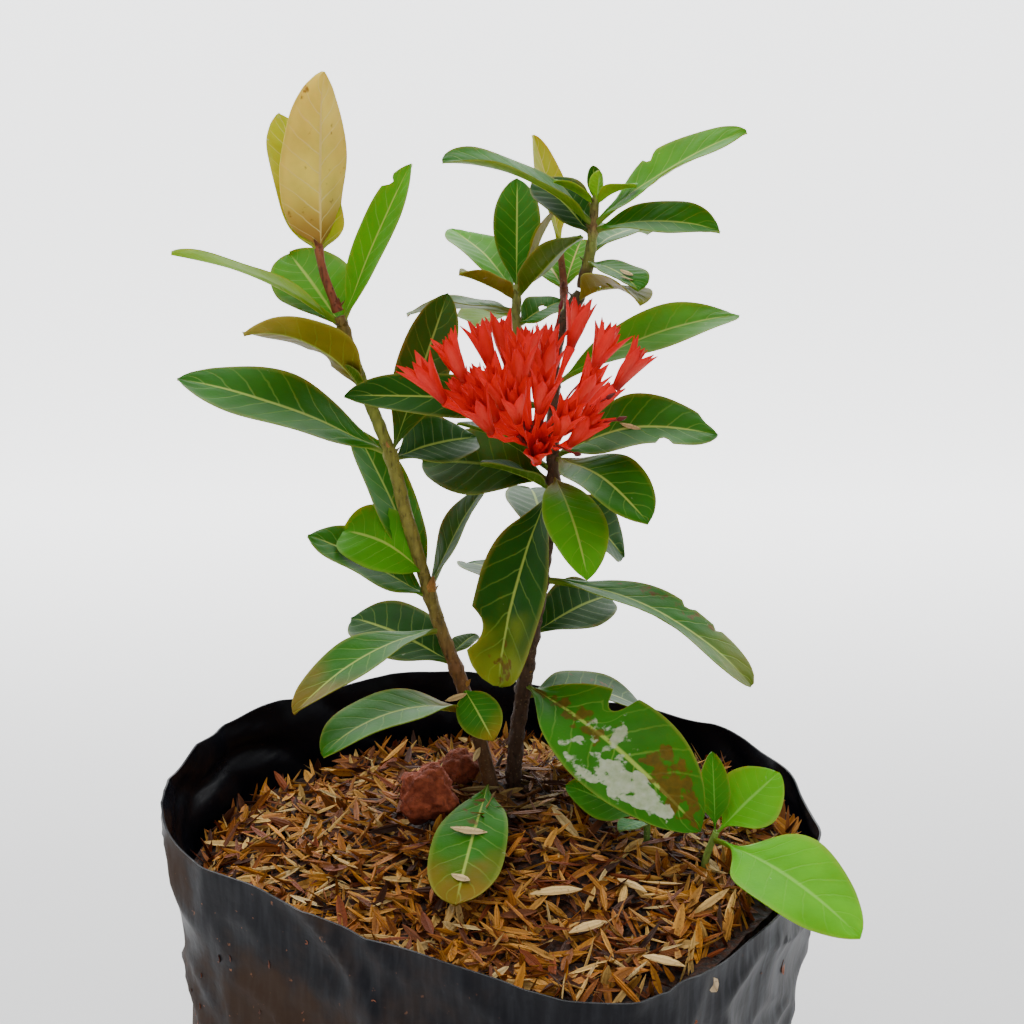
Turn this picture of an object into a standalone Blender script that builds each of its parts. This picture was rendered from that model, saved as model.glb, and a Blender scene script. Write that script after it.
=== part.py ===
# A young red ixora in a black polythene grow bag, mulched with rice husks.
# Metres, +Z up. The origin is the middle of the bag's flat bottom and the front is -Y.

import math
import random
from collections import namedtuple

import bmesh
import bpy
from mathutils import Matrix, Vector

MM = 0.001
GAP = 0.3 * MM
SMOOTH_ANGLE = 40

# The bag
SIDES = 36
WALL = 1.2 * MM
BOTTOM_RADIUS = 59 * MM
BOTTOM_TUCK = 5 * MM
WALL_LEVELS = (55 * MM, 110 * MM)
FILL_INSET = WALL + 2 * GAP
RIM_STEPS = 12
RIM = (
    (75, 0, 124), (71, 28, 125), (54, 52, 127), (19, 66, 131), (-16, 72, 134), (-42, 64, 133),
    (-62, 45, 133), (-74, 18, 133), (-75, -4, 132), (-68, -24, 128), (-38, -43, 125), (-15, -57, 124),
    (18, -71, 121), (36, -64, 121), (53, -45, 121), (69, -20, 123),
)

# The fill
FILL_TOP = 104 * MM
EDGE_LEVEL = 116 * MM
MOUND_HEIGHT = 13 * MM
MOUND_SPREAD = 24 * MM
MOUND_CENTRE = (2 * MM, 5 * MM)
LEVEL_SLOPE_X = 0.05
MULCH_RINGS = (0.12, 0.3, 0.5, 0.75)
HUSK_COUNT = 165
HUSK_LENGTH = 14 * MM
HUSK_WIDTH = 5 * MM
HUSK_THICKNESS = 3.2 * MM
HUSK_SIZES = (0.8, 1.1)
HUSK_TILT = 14
HUSK_ROLL = 25
HUSK_WALL_SHARE = 0.62
HUSK_STEM_SHARE = 0.7
HUSK_SEED = 21

# Leaves, petals and stems
LEAF_THICKNESS = 0.7 * MM
PETAL_THICKNESS = 0.6 * MM
STALK_SHARE = 0.08
STALK_WIDTH = 1.6 * MM
LEAF_SKEW = 0.95
LEAF_FULLNESS = 0.75
WAVE = 0.5 * MM
WAVES = 1.5
LEAF_SPANS = (0.0, 0.08, 0.25, 0.45, 0.68, 0.88, 1.0)
STEM_SIDES = 6

# A leaf starts on its stem at a height in millimetres. It heads the way of the angle, 0 at +X and 270 to
# the front, rises at its base, droops along its length, and rolls about it, in degrees. It is so many
# millimetres long and wide, and its halves fold up by the last angle.
Leaf = namedtuple("Leaf", "height heading rise droop roll length width fold")

# A stem's points are (x, y, z, radius) in millimetres, from its foot to its tip.
LEFT_STEM = (
    (0, 3, 94, 1.8), (0, 3, 122, 1.8), (-2, 4, 136, 1.7), (-7, 4, 154, 1.6), (-13, 3, 172, 1.5),
    (-19, 1, 195, 1.5), (-22, 0, 208, 1.4), (-28, -1, 225, 1.3), (-32, -2, 238, 1.2),
)
LEFT_LEAVES = (
    Leaf(235, 133, 42, 18, -30, 27, 17, 10),
    Leaf(236, 185, 40, 32, 8, 38, 15, 10),
    Leaf(236, 22, 69, 12, 30, 37, 11, 14),
    Leaf(221, 178, 63, 80, 45, 33, 17, 10),
    Leaf(221, 218, 60, 10, 0, 9, 4, 10),
    Leaf(208, 190, 32, 25, -30, 48, 19, 10),
    Leaf(208, 22, 68, 20, 75, 38, 12, 14),
    Leaf(207, 27, 21, 30, 30, 22, 16, 10),
    Leaf(177, 145, 64, 10, 0, 41, 15, 10),
    Leaf(176, 232, 68, 80, 0, 31, 18, 12),
    Leaf(175, 195, 37, 15, -25, 30, 16, 10),
    Leaf(177, 22, 67, 15, 0, 27, 12, 14),
    Leaf(162, 56, 21, 15, 0, 10, 6, 10),
    Leaf(168, 223, 7, 40, 0, 42, 15, 10),
    Leaf(159, 158, 30, 35, -25, 30, 18, 8),
    Leaf(154, 295, -18, 25, 20, 16, 10, 10),
    Leaf(148, 221, 31, 60, 0, 42, 18, 10),
    Leaf(131, 262, -3, 13, 0, 44, 16, 8),
)

LEFT_TIP = ((-32.2, -2, 239, 1.0), (-35, -2, 247, 0.9), (-36, -2, 253, 0.8))
LEFT_TIP_LEAVES = (
    Leaf(252, 314, 90, 10, 0, 35, 14, 12),
    Leaf(251, 124, 68, 10, 0, 32, 12, 12),
)

MAIN_STEM = (
    (4, 8, 94, 1.9), (4, 8, 122, 1.9), (5, 7, 140, 1.8), (8, 5, 163, 1.7), (11, 5, 182, 1.6),
    (13, 7, 200, 1.5), (13, 9, 215, 1.4), (14, 11, 232, 1.3), (19, 12, 242, 1.3),
)
MAIN_LEAVES = (
    Leaf(200, 226, -53, 30, 0, 46, 21, 12),
    Leaf(202, 287, -11, 40, 0, 31, 13, 12),
    Leaf(206, 306, 5, 45, 10, 32, 17, 12),
    Leaf(206, 336, 36, 60, 32, 38, 20, 12),
    Leaf(198, 8, -30, 30, 35, 24, 15, 12),
    Leaf(203, 196, 44, 30, 0, 25, 12, 12),
    Leaf(199, 205, 38, 30, 0, 19, 11, 12),
    Leaf(201, 173, 17, 30, -40, 31, 20, 12),
    Leaf(179, 338, 4, 50, 0, 53, 17, 12),
    Leaf(166, 34, 25, 40, 35, 27, 15, 12),
    Leaf(154, 305, 0, 50, 28, 55, 24, 12),
    Leaf(151, 29, 4, 45, 10, 41, 18, 12),
    Leaf(240, 313, 32, 60, 10, 26, 18, 12),
    Leaf(222, 6, 34, 35, 28, 46, 15, 12),
    Leaf(217, 208, 11, 12, -45, 48, 12, 10),
    Leaf(186, 95, 30, 40, 0, 36, 15, 12),
    Leaf(172, 120, 25, 40, 0, 34, 15, 12),
)

RIGHT_SHOOT = ((19.3, 12.1, 242.8, 1.2), (21, 12, 251, 1.1), (21.5, 12, 256, 1.0), (22, 12, 263, 0.7))
RIGHT_LEAVES = (
    Leaf(256, 334, 42, 25, 32, 38, 16, 14),
    Leaf(255, 325, 18, 40, 30, 29, 13, 14),
    Leaf(248, 296, 4, 30, 0, 22, 10, 14),
    Leaf(256, 205, 46, 50, -20, 37, 14, 14),
    Leaf(254, 154, 48, 20, -30, 19, 13, 14),
    Leaf(261, 317, 38, 40, 0, 12, 6, 14),
    Leaf(261, 204, 35, 20, 0, 11, 5, 14),
    Leaf(250, 60, 25, 35, 0, 30, 14, 14),
)

MIDDLE_SHOOT = (
    (11.2, 11.5, 219, 1.2), (8, 15, 225, 1.2), (5, 19, 233, 1.1), (5, 20, 239, 1.0), (5, 21, 243, 0.7),
)
MIDDLE_LEAVES = (
    Leaf(240, 316, 47, 20, 0, 24, 12, 14),
    Leaf(241, 89, 72, 15, 0, 28, 13, 14),
    Leaf(240, 0, 74, 15, 0, 22, 10, 14),
    Leaf(240, 212, 32, 20, 0, 16, 10, 20),
    Leaf(237, 167, 13, 30, 0, 26, 17, 10),
    Leaf(236, 111, 6, 30, 0, 29, 15, 10),
    Leaf(234, 12, 35, 20, 20, 12, 12, 10),
    Leaf(241, 125, 37, 20, 0, 30, 14, 10),
)

BACK_SHOOT = ((14, 13, 228, 1.0), (15, 22, 234, 1.0), (16, 32, 241, 0.9), (15, 34, 251, 0.7))
BACK_LEAVES = (
    Leaf(250, 148, 79, 10, 0, 27, 12, 14),
    Leaf(241, 108, 31, 20, 0, 20, 15, 12),
    Leaf(241, 69, 50, 20, 0, 17, 10, 12),
)

# The flower head: florets stand on slender tubes that spread from one point, each by its heading, its
# rise and its reach in millimetres.
Floret = namedtuple("Floret", "heading rise reach")
PEDUNCLE = ((12, 6, 209, 1.2), (10, -2, 210, 1.2), (8, -9, 212, 1.3))
HEAD_CENTRE = (8, -10, 212)
FLORETS = (
    Floret(196, 34, 26), Floret(194, 49, 25), Floret(163, 64, 23), Floret(129, 67, 23),
    Floret(180, 87, 20), Floret(239, 46, 20), Floret(232, 28, 19), Floret(257, 36, 20),
    Floret(66, 68, 21), Floret(44, 62, 28), Floret(22, 51, 26), Floret(3, 39, 26),
    Floret(319, 43, 20), Floret(276, 40, 22), Floret(296, 28, 19), Floret(276, 8, 15),
    Floret(328, 22, 16), Floret(20, 30, 20), Floret(178, 36, 17), Floret(252, 65, 20),
)
PETALS = 4
PETAL_LENGTH = 11 * MM
PETAL_WIDTH = 3.4 * MM
TUBE_RADIUS = 0.5 * MM
THROAT_RADIUS = 1.1 * MM
THROAT_HOLLOW = 0.35
PETAL_SHARE = 0.4
FLORET_LIFT = 0.35
OUTER_SPREAD = 22
SPREAD_CHANGE = 6
INNER_SPREAD = 8
INNER_SIZE = 0.55
CORE_RADIUS = 2.4 * MM
TUBE_FOOT_SHARE = 0.8
FLOWER_SEED = 5

# The seedlings
SEEDLING_STEM = ((46, -15, 108, 0.8), (46, -15, 120, 0.8), (48, -17, 129, 0.7))
SEEDLING_LEAVES = (
    Leaf(128, 21, 42, 15, 30, 20, 15, 8),
    Leaf(127, 303, 11, 40, 15, 41, 21, 8),
    Leaf(128, 96, 81, 15, 0, 18, 7, 8),
)
SPROUT_STEM = ((34, -8, 108, 0.8), (34, -8, 118, 0.8), (34, -8, 128, 0.7))
SPROUT_LEAVES = (
    Leaf(127, 166, 26, 20, -30, 20, 11, 8),
    Leaf(127, 231, 20, 20, 0, 11, 6, 8),
)

# The clay lumps: (x, y, z, size) of their middles in millimetres.
CLAY_LUMPS = ((-15, -2, 131, 13), (-8, 12, 131, 9))
LUMP_SEED = 3
LUMP_ROUGHNESS = (0.86, 1.06)


def clear_scene():
    for item in list(bpy.data.objects):
        bpy.data.objects.remove(item, do_unlink=True)


def finish(name, colour, roughness):
    material = bpy.data.materials.new(name)
    material.use_nodes = True
    shader = material.node_tree.nodes["Principled BSDF"]
    shader.inputs["Base Color"].default_value = (*colour, 1.0)
    shader.inputs["Roughness"].default_value = roughness
    shader.inputs["Metallic"].default_value = 0.0
    return material


def add_object(name, points, faces):
    mesh = bpy.data.meshes.new(name)
    mesh.from_pydata([tuple(point) for point in points], [], faces)
    work = bmesh.new()
    work.from_mesh(mesh)
    bmesh.ops.recalc_face_normals(work, faces=work.faces)
    work.to_mesh(mesh)
    work.free()
    item = bpy.data.objects.new(name, mesh)
    bpy.context.scene.collection.objects.link(item)
    return item


def dress(item, name, material):
    item.name = name
    item.data.name = name
    item.data.materials.clear()
    item.data.materials.append(material)
    item.data.shade_smooth()
    item.data.set_sharp_from_angle(angle=math.radians(SMOOTH_ANGLE))
    return item


def ball(name, middle, radius):
    """A coarse ball whose corners lie as far out as each call of radius says."""
    work = bmesh.new()
    bmesh.ops.create_icosphere(work, subdivisions=2, radius=1.0)
    for corner in work.verts:
        corner.co = middle + corner.co * radius()
    mesh = bpy.data.meshes.new(name)
    work.to_mesh(mesh)
    work.free()
    item = bpy.data.objects.new(name, mesh)
    bpy.context.scene.collection.objects.link(item)
    return item


def combine(body, others, operation):
    """One Boolean of the body with a collection of other solids, applied; the others are removed."""
    group = bpy.data.collections.new("repeats")
    bpy.context.scene.collection.children.link(group)
    for other in others:
        bpy.context.scene.collection.objects.unlink(other)
        group.objects.link(other)
    boolean = body.modifiers.new("join", "BOOLEAN")
    boolean.operation = operation
    boolean.operand_type = "COLLECTION"
    boolean.collection = group
    boolean.solver = "EXACT"
    graph = bpy.context.evaluated_depsgraph_get()
    joined = bpy.data.meshes.new_from_object(body.evaluated_get(graph))
    body.modifiers.clear()
    body.data = joined
    for other in others:
        bpy.data.objects.remove(other, do_unlink=True)
    bpy.data.collections.remove(group)
    return body


def loft(name, rings):
    """A closed body through rings with the same number of points, capped at both ends.

    Every side is split along the same diagonal, so that nested walls stay clear of each other."""
    count = len(rings[0])
    points = [point for ring in rings for point in ring]
    faces = [tuple(range(count)), tuple(range(len(points) - count, len(points)))]
    for row in range(len(rings) - 1):
        near = row * count
        far = near + count
        if rings[row + 1][0].z < rings[row][0].z:
            near, far = far, near
        for column in range(count):
            following = (column + 1) % count
            faces.append((near + column, near + following, far + following))
            faces.append((near + column, far + following, far + column))
    return add_object(name, points, faces)


def curve_point(before, start, end, after, share):
    """A point of the smooth curve from start to end; the neighbours set its slope."""
    bend = 2 * before - 5 * start + 4 * end - after
    twist = 3 * start - before - 3 * end + after
    return start + 0.5 * share * ((end - before) + share * (bend + share * twist))


def tube(name, stem, spare=0.0):
    """A round stem along its points; spare is added to its radius and below its foot."""
    path = [Vector(row) for row in stem]
    path[0].z -= spare / MM
    rings = []
    for index, row in enumerate(path):
        before = path[max(index - 1, 0)].to_3d()
        after = path[min(index + 1, len(path) - 1)].to_3d()
        along = (after - before).normalized()
        side = along.cross(Vector((0, 1, 0))).normalized()
        up = along.cross(side)
        radius = row[3] * MM + spare
        ring = []
        for step in range(STEM_SIDES):
            angle = math.tau * step / STEM_SIDES
            ring.append(row.to_3d() * MM + radius * (side * math.cos(angle) + up * math.sin(angle)))
        rings.append(ring)
    return loft(name, rings)


def point_at(stem, height):
    """Where the stem's middle line is at a height in millimetres."""
    path = [Vector(row) for row in stem]
    for start, end in zip(path, path[1:]):
        if start.z <= height <= end.z:
            share = (height - start.z) / (end.z - start.z)
            return start.lerp(end, share).to_3d() * MM
    return path[-1].to_3d() * MM


def turned(heading, rise, roll):
    yaw = Matrix.Rotation(math.radians(heading), 3, "Z")
    pitch = Matrix.Rotation(-math.radians(rise), 3, "Y")
    spin = Matrix.Rotation(math.radians(roll), 3, "X")
    return yaw @ pitch @ spin


def leaf_half_width(share, width):
    if share <= STALK_SHARE:
        return STALK_WIDTH / 2
    along = (share - STALK_SHARE) / (1 - STALK_SHARE)
    return max(width / 2 * math.sin(math.pi * along ** LEAF_SKEW) ** LEAF_FULLNESS, STALK_WIDTH / 2)


def blade_rows(length, width, droop, fold):
    """The blade's middle surface: at each span its edges and rib, and which way is up."""
    rows = []
    for share in LEAF_SPANS:
        bend = droop * share
        middle = Vector((length * math.sin(bend) / droop, 0, -length * (1 - math.cos(bend)) / droop))
        up = Vector((math.sin(bend), 0, math.cos(bend)))
        if share == 1.0:
            rows.append(([middle], up))
            continue
        half = leaf_half_width(share, width)
        wave = WAVE * math.sin(math.tau * WAVES * share) * half / width * 2
        left = Vector((0, -half * math.cos(fold), 0)) + up * (half * math.sin(fold) - wave)
        right = Vector((0, half * math.cos(fold), 0)) + up * (half * math.sin(fold) + wave)
        rows.append(([middle + left, middle, middle + right], up))
    return rows


def blade(origin, frame, rows):
    """A thin closed body on the rows, with its two faces split into the same triangles."""
    points = []
    tops = []
    bottoms = []
    columns = range(3)
    half = LEAF_THICKNESS / 2
    for across, up in rows:
        last = len(across) - 1
        tops.append([len(points) + min(column, last) for column in columns])
        points += [point + up * half for point in across]
        bottoms.append([len(points) + min(column, last) for column in columns])
        points += [point - up * half for point in across]
    faces = [tuple(tops[0] + bottoms[0][::-1])]
    for row in range(len(rows) - 1):
        for level in (tops, bottoms):
            near = level[row]
            far = level[row + 1]
            for column in columns[:2]:
                faces.append((near[column], near[column + 1], far[column + 1]))
                faces.append((near[column], far[column + 1], far[column]))
        for column in (0, 2):
            faces.append((tops[row][column], tops[row + 1][column], bottoms[row + 1][column]))
            faces.append((tops[row][column], bottoms[row + 1][column], bottoms[row][column]))
    faces = [face for face in faces if len(set(face)) == len(face)]
    return add_object("leaf", [origin + frame @ point for point in points], faces)


def leaf(stem, shape):
    frame = turned(shape.heading, shape.rise, shape.roll)
    droop = math.radians(shape.droop)
    rows = blade_rows(shape.length * MM, shape.width * MM, droop, math.radians(shape.fold))
    return blade(point_at(stem, shape.height), frame, rows)


def leafy_stem(name, stem, leaves, colour):
    body = tube(name, stem)
    combine(body, [leaf(stem, shape) for shape in leaves], "UNION")
    return dress(body, name, finish(name, colour, 0.45))


def whorl(foot, throat, frame, size, spread, start):
    """A tube that opens into a ring of pointed petals, as one closed body in the frame's +X direction."""
    points = []

    def add(origin, share, radius, angle):
        ring = Vector((share, radius * math.cos(angle), radius * math.sin(angle)))
        points.append(origin + frame @ ring)
        return len(points) - 1

    step = math.tau / PETALS
    corners = [start + index * step for index in range(PETALS)]
    low = [add(foot, 0, TUBE_RADIUS * size, angle) for angle in corners]
    outer = [add(throat, 0, THROAT_RADIUS * size, angle) for angle in corners]
    inner = [add(throat, 0, THROAT_RADIUS * size * THROAT_HOLLOW, angle) for angle in corners]
    faces = [tuple(low), tuple(inner)]
    length = PETAL_LENGTH * size
    for index, angle in enumerate(corners):
        following = (index + 1) % PETALS
        faces.append((low[index], low[following], outer[following], outer[index]))
        middle = angle + step / 2
        share = length * 0.5 * math.cos(spread)
        radius = THROAT_RADIUS * size + length * 0.5 * math.sin(spread)
        turn = min(PETAL_WIDTH * size / 2 / radius, step * PETAL_SHARE)
        thin = PETAL_THICKNESS / 2
        back = [add(throat, share, radius + thin, middle + side * turn) for side in (-1, 1)]
        front = [add(throat, share, radius - thin, middle + side * turn) for side in (-1, 1)]
        tip = add(throat, length * math.cos(spread), radius + length * 0.5 * math.sin(spread), middle)
        faces.append((outer[index], outer[following], back[1], back[0]))
        faces.append((inner[index], inner[following], front[1], front[0]))
        faces.append((outer[index], back[0], front[0], inner[index]))
        faces.append((outer[following], back[1], front[1], inner[following]))
        faces += [(back[0], back[1], tip), (front[0], front[1], tip)]
        faces += [(back[0], front[0], tip), (back[1], front[1], tip)]
    return add_object("whorl", points, faces)


def floret(middle, shape, draw):
    """A slender tube with its half-closed outer petals, and the inner ones that stand in their throat."""
    head = middle + turned(shape.heading, shape.rise, 0) @ Vector((shape.reach * MM, 0, 0))
    frame = turned(shape.heading, shape.rise + FLORET_LIFT * (90 - shape.rise), 0)
    along = frame @ Vector((1, 0, 0))
    throat = head - along * PETAL_LENGTH / 2
    foot = middle + (throat - middle).normalized() * CORE_RADIUS * TUBE_FOOT_SHARE
    start = draw.uniform(0, math.tau)
    spread = math.radians(OUTER_SPREAD + draw.uniform(-SPREAD_CHANGE, SPREAD_CHANGE))
    outer = whorl(foot, throat, frame, 1.0, spread, start)
    sunk = throat - along * PETAL_THICKNESS
    raised = throat + along * PETAL_THICKNESS
    inner = whorl(sunk, raised, frame, INNER_SIZE, math.radians(INNER_SPREAD), start + math.pi / PETALS)
    return [outer, inner]


def flower_head():
    draw = random.Random(FLOWER_SEED)
    middle = Vector(HEAD_CENTRE) * MM
    body = tube("flower_head", PEDUNCLE)
    pieces = [ball("core", middle, lambda: CORE_RADIUS)]
    for shape in FLORETS:
        pieces += floret(middle, shape, draw)
    combine(body, pieces, "UNION")
    return dress(body, "flower_head", finish("flower_head", (0.75, 0.02, 0.01), 0.5))


def rim_points():
    """The bag's wavy rim, one point for each side of the bag, evenly round it."""
    corners = [Vector(point) * MM for point in RIM]
    count = len(corners)
    dense = []
    for index in range(count):
        around = [corners[(index + step) % count] for step in (-1, 0, 1, 2)]
        dense += [curve_point(*around, step / RIM_STEPS) for step in range(RIM_STEPS)]
    rim = []
    for side in range(SIDES):
        angle = math.tau * side / SIDES
        heading = Vector((math.cos(angle), math.sin(angle), 0))
        rim.append(max(dense, key=lambda point: point.to_2d().normalized().dot(heading.to_2d())))
    return rim


def outline(rim, height, inset):
    """The bag's outline at a height, moved in by the inset; the wall is straight from foot to rim."""
    ring = []
    for point in rim:
        share = height / point.z
        out = point.to_2d().normalized()
        radius = BOTTOM_RADIUS + share * (point.to_2d().length - BOTTOM_RADIUS) - inset
        ring.append(Vector((*(out * radius), height)))
    return ring


def grow_bag(rim):
    tuck = outline(rim, 0.0, BOTTOM_TUCK)
    foot = outline(rim, BOTTOM_TUCK, 0.0)
    outside = [outline(rim, height, 0.0) for height in WALL_LEVELS]
    inside = [outline(rim, height, WALL) for height in reversed(WALL_LEVELS)]
    inner_rim = [outline([point], point.z, WALL)[0] for point in rim]
    inner_foot = outline(rim, BOTTOM_TUCK + WALL, WALL)
    inner_tuck = outline(rim, WALL, BOTTOM_TUCK + WALL)
    body = loft("grow_bag", [tuck, foot, *outside, rim, inner_rim, *inside, inner_foot, inner_tuck])
    return dress(body, "grow_bag", finish("grow_bag", (0.02, 0.02, 0.022), 0.4))


def potting_mix(rim, stems):
    foot = outline(rim, WALL + GAP, BOTTOM_TUCK + FILL_INSET)
    shoulder = outline(rim, BOTTOM_TUCK + FILL_INSET, FILL_INSET)
    sides = [outline(rim, height, FILL_INSET) for height in (WALL_LEVELS[0], FILL_TOP)]
    body = loft("potting_mix", [foot, shoulder, *sides])
    combine(body, [tube("hole", stem[:3], GAP) for stem in stems], "DIFFERENCE")
    return dress(body, "potting_mix", finish("potting_mix", (0.08, 0.05, 0.03), 0.95))


def ground(x, y):
    """The height of the mulch: a mound round the stems on a surface that is lower at the left."""
    away = (x - MOUND_CENTRE[0]) ** 2 + (y - MOUND_CENTRE[1]) ** 2
    mound = MOUND_HEIGHT * math.exp(-away / (2 * MOUND_SPREAD ** 2))
    return EDGE_LEVEL + LEVEL_SLOPE_X * x + mound


def mulch_ring(rim, share):
    ring = []
    for index, edge in enumerate(outline(rim, EDGE_LEVEL, FILL_INSET)):
        wall = outline(rim[index:index + 1], ground(edge.x, edge.y), FILL_INSET)[0]
        x = MOUND_CENTRE[0] + share * (wall.x - MOUND_CENTRE[0])
        y = MOUND_CENTRE[1] + share * (wall.y - MOUND_CENTRE[1])
        ring.append(Vector((x, y, ground(x, y))))
    return ring


def husk(place, draw):
    """One boat-shaped husk, half sunk in the mulch."""
    size = draw.uniform(*HUSK_SIZES)
    half = Vector((HUSK_LENGTH, HUSK_WIDTH, HUSK_THICKNESS)) * size / 2
    corners = ((-1, 0, 0), (1, 0, 0), (0, -1, 0), (0, 1, 0), (0.1, 0, -1), (0.1, 0, 1))
    heading = draw.uniform(0, 360)
    tilt = draw.uniform(-HUSK_TILT, HUSK_TILT)
    frame = turned(heading, tilt, draw.uniform(-HUSK_ROLL, HUSK_ROLL))
    points = []
    for corner in corners:
        points.append(place + frame @ Vector([share * span for share, span in zip(corner, half)]))
    faces = [(end, side, level) for end in (0, 1) for side in (2, 3) for level in (4, 5)]
    return add_object("husk", points, faces)


def husk_places(rim, bare):
    """Even places over the mulch, in a sunflower's order, clear of the wall and the bare spots."""
    golden = math.pi * (3 - math.sqrt(5))
    edge = outline(rim, EDGE_LEVEL, FILL_INSET)
    places = []
    for index in range(HUSK_COUNT):
        angle = index * golden
        side = round(angle / math.tau * SIDES) % SIDES
        widest = edge[side].to_2d().length - HUSK_LENGTH * HUSK_WALL_SHARE
        reach = widest * math.sqrt((index + 0.5) / HUSK_COUNT)
        x = reach * math.cos(angle)
        y = reach * math.sin(angle)
        if all(math.hypot(x - spot[0], y - spot[1]) > spot[2] for spot in bare):
            places.append(Vector((x, y, ground(x, y))))
    return places


def husk_mulch(rim, stems, lumps):
    bottom = outline(rim, FILL_TOP + GAP, FILL_INSET)
    rings = [bottom, mulch_ring(rim, 1.0)]
    rings += [mulch_ring(rim, share) for share in reversed(MULCH_RINGS)]
    body = loft("husk_mulch", rings)
    bare = [(stem[1][0] * MM, stem[1][1] * MM, HUSK_LENGTH * HUSK_STEM_SHARE) for stem in stems]
    bare += [(x * MM, y * MM, (HUSK_LENGTH + size * MM) / 2) for x, y, _, size in CLAY_LUMPS]
    draw = random.Random(HUSK_SEED)
    combine(body, [husk(place, draw) for place in husk_places(rim, bare)], "UNION")
    holes = [tube("hole", stem[:3], GAP) for stem in stems]
    combine(body, holes + lumps, "DIFFERENCE")
    return dress(body, "husk_mulch", finish("husk_mulch", (0.45, 0.28, 0.13), 0.85))


def clay_lump(index, spare=0.0):
    """A rough crumb: a coarse ball with each corner pushed in or out by a seeded share."""
    x, y, z, size = CLAY_LUMPS[index]
    draw = random.Random(LUMP_SEED + index)
    return ball("lump", Vector((x, y, z)) * MM, lambda: size * MM / 2 * draw.uniform(*LUMP_ROUGHNESS) + spare)


def build():
    clear_scene()
    rim = rim_points()
    green = (0.09, 0.2, 0.04)
    stems = (LEFT_STEM, MAIN_STEM, SEEDLING_STEM, SPROUT_STEM)
    grow_bag(rim)
    potting_mix(rim, stems[:2])
    husk_mulch(rim, stems, [clay_lump(index, 2 * GAP) for index in range(len(CLAY_LUMPS))])
    for index in range(len(CLAY_LUMPS)):
        name = f"clay_lump_{index + 1}"
        dress(clay_lump(index), name, finish(name, (0.42, 0.14, 0.06), 0.9))
    leafy_stem("left_leafy_stem", LEFT_STEM, LEFT_LEAVES, green)
    leafy_stem("left_young_shoot", LEFT_TIP, LEFT_TIP_LEAVES, (0.45, 0.38, 0.12))
    leafy_stem("main_leafy_stem", MAIN_STEM, MAIN_LEAVES, green)
    leafy_stem("right_leafy_shoot", RIGHT_SHOOT, RIGHT_LEAVES, (0.16, 0.3, 0.05))
    leafy_stem("middle_leafy_shoot", MIDDLE_SHOOT, MIDDLE_LEAVES, green)
    leafy_stem("back_young_shoot", BACK_SHOOT, BACK_LEAVES, (0.4, 0.36, 0.1))
    flower_head()
    leafy_stem("weed_seedling", SEEDLING_STEM, SEEDLING_LEAVES, (0.2, 0.42, 0.06))
    leafy_stem("weed_sprout", SPROUT_STEM, SPROUT_LEAVES, (0.16, 0.3, 0.1))


build()
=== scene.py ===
# A young red ixora in its black grow bag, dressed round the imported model. Metres, +Z up, front at -Y.

import math
import random

import bpy
from mathutils import Matrix, Vector, noise


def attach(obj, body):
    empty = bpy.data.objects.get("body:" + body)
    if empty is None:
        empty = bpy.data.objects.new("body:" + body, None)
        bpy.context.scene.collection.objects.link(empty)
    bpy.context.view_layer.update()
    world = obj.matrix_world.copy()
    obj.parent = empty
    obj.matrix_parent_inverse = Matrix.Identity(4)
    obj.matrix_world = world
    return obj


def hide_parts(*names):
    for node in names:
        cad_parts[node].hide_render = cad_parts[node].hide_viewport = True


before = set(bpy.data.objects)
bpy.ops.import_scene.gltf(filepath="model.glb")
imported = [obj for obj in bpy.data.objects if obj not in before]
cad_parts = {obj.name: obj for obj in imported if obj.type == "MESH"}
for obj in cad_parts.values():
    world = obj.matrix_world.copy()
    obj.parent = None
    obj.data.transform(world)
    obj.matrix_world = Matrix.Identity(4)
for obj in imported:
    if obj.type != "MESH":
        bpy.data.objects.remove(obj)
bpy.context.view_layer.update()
mm = 0.001
print("loaded the packed model")


# A colour is given as it looks on a screen, 0 to 255, and used as linear light.
def paint(red, green, blue):
    return tuple(((value / 255 + 0.055) / 1.055) ** 2.4 for value in (red, green, blue))


def mixed(first, second, share):
    share = min(max(share, 0.0), 1.0)
    return tuple(a + (b - a) * share for a, b in zip(first, second))


def smooth(low, high, value):
    share = min(max((value - low) / (high - low), 0.0), 1.0)
    return share * share * (3 - 2 * share)


# A smooth curve through (place, value) pairs.
def follow(table, place):
    index = 0
    while index < len(table) - 2 and place > table[index + 1][0]:
        index += 1
    a = table[max(index - 1, 0)]
    b = table[index]
    c = table[index + 1]
    d = table[min(index + 2, len(table) - 1)]
    span = c[0] - b[0]
    share = min(max((place - b[0]) / span, 0.0), 1.0)
    slopeIn = (c[1] - a[1]) / (c[0] - a[0]) * span
    slopeOut = (d[1] - b[1]) / (d[0] - b[0]) * span
    twice = share * share
    thrice = twice * share
    value = (2 * thrice - 3 * twice + 1) * b[1] + (thrice - 2 * twice + share) * slopeIn
    return value + (3 * twice - 2 * thrice) * c[1] + (thrice - twice) * slopeOut


# The colour at a place in a list of rows: the place, red, green and blue.
def colourAt(table, place):
    for start, end in zip(table, table[1:]):
        if place <= end[0]:
            return mixed(paint(*start[1:]), paint(*end[1:]), (place - start[0]) / (end[0] - start[0]))
    return paint(*table[-1][1:])


# A place on a smooth curve through four points in a row, between the middle two.
def between(before, start, end, after, share):
    bend = 2 * before - 5 * start + 4 * end - after
    twist = 3 * start - before - 3 * end + after
    return start + 0.5 * share * ((end - before) + share * (bend + share * twist))


# A point at a heading in radians, a radius and a height.
def spun(angle, radius, height):
    return Vector((radius * math.cos(angle), radius * math.sin(angle), height))


def addObject(name, data):
    item = bpy.data.objects.new(name, data)
    bpy.context.scene.collection.objects.link(item)
    return item


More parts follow.
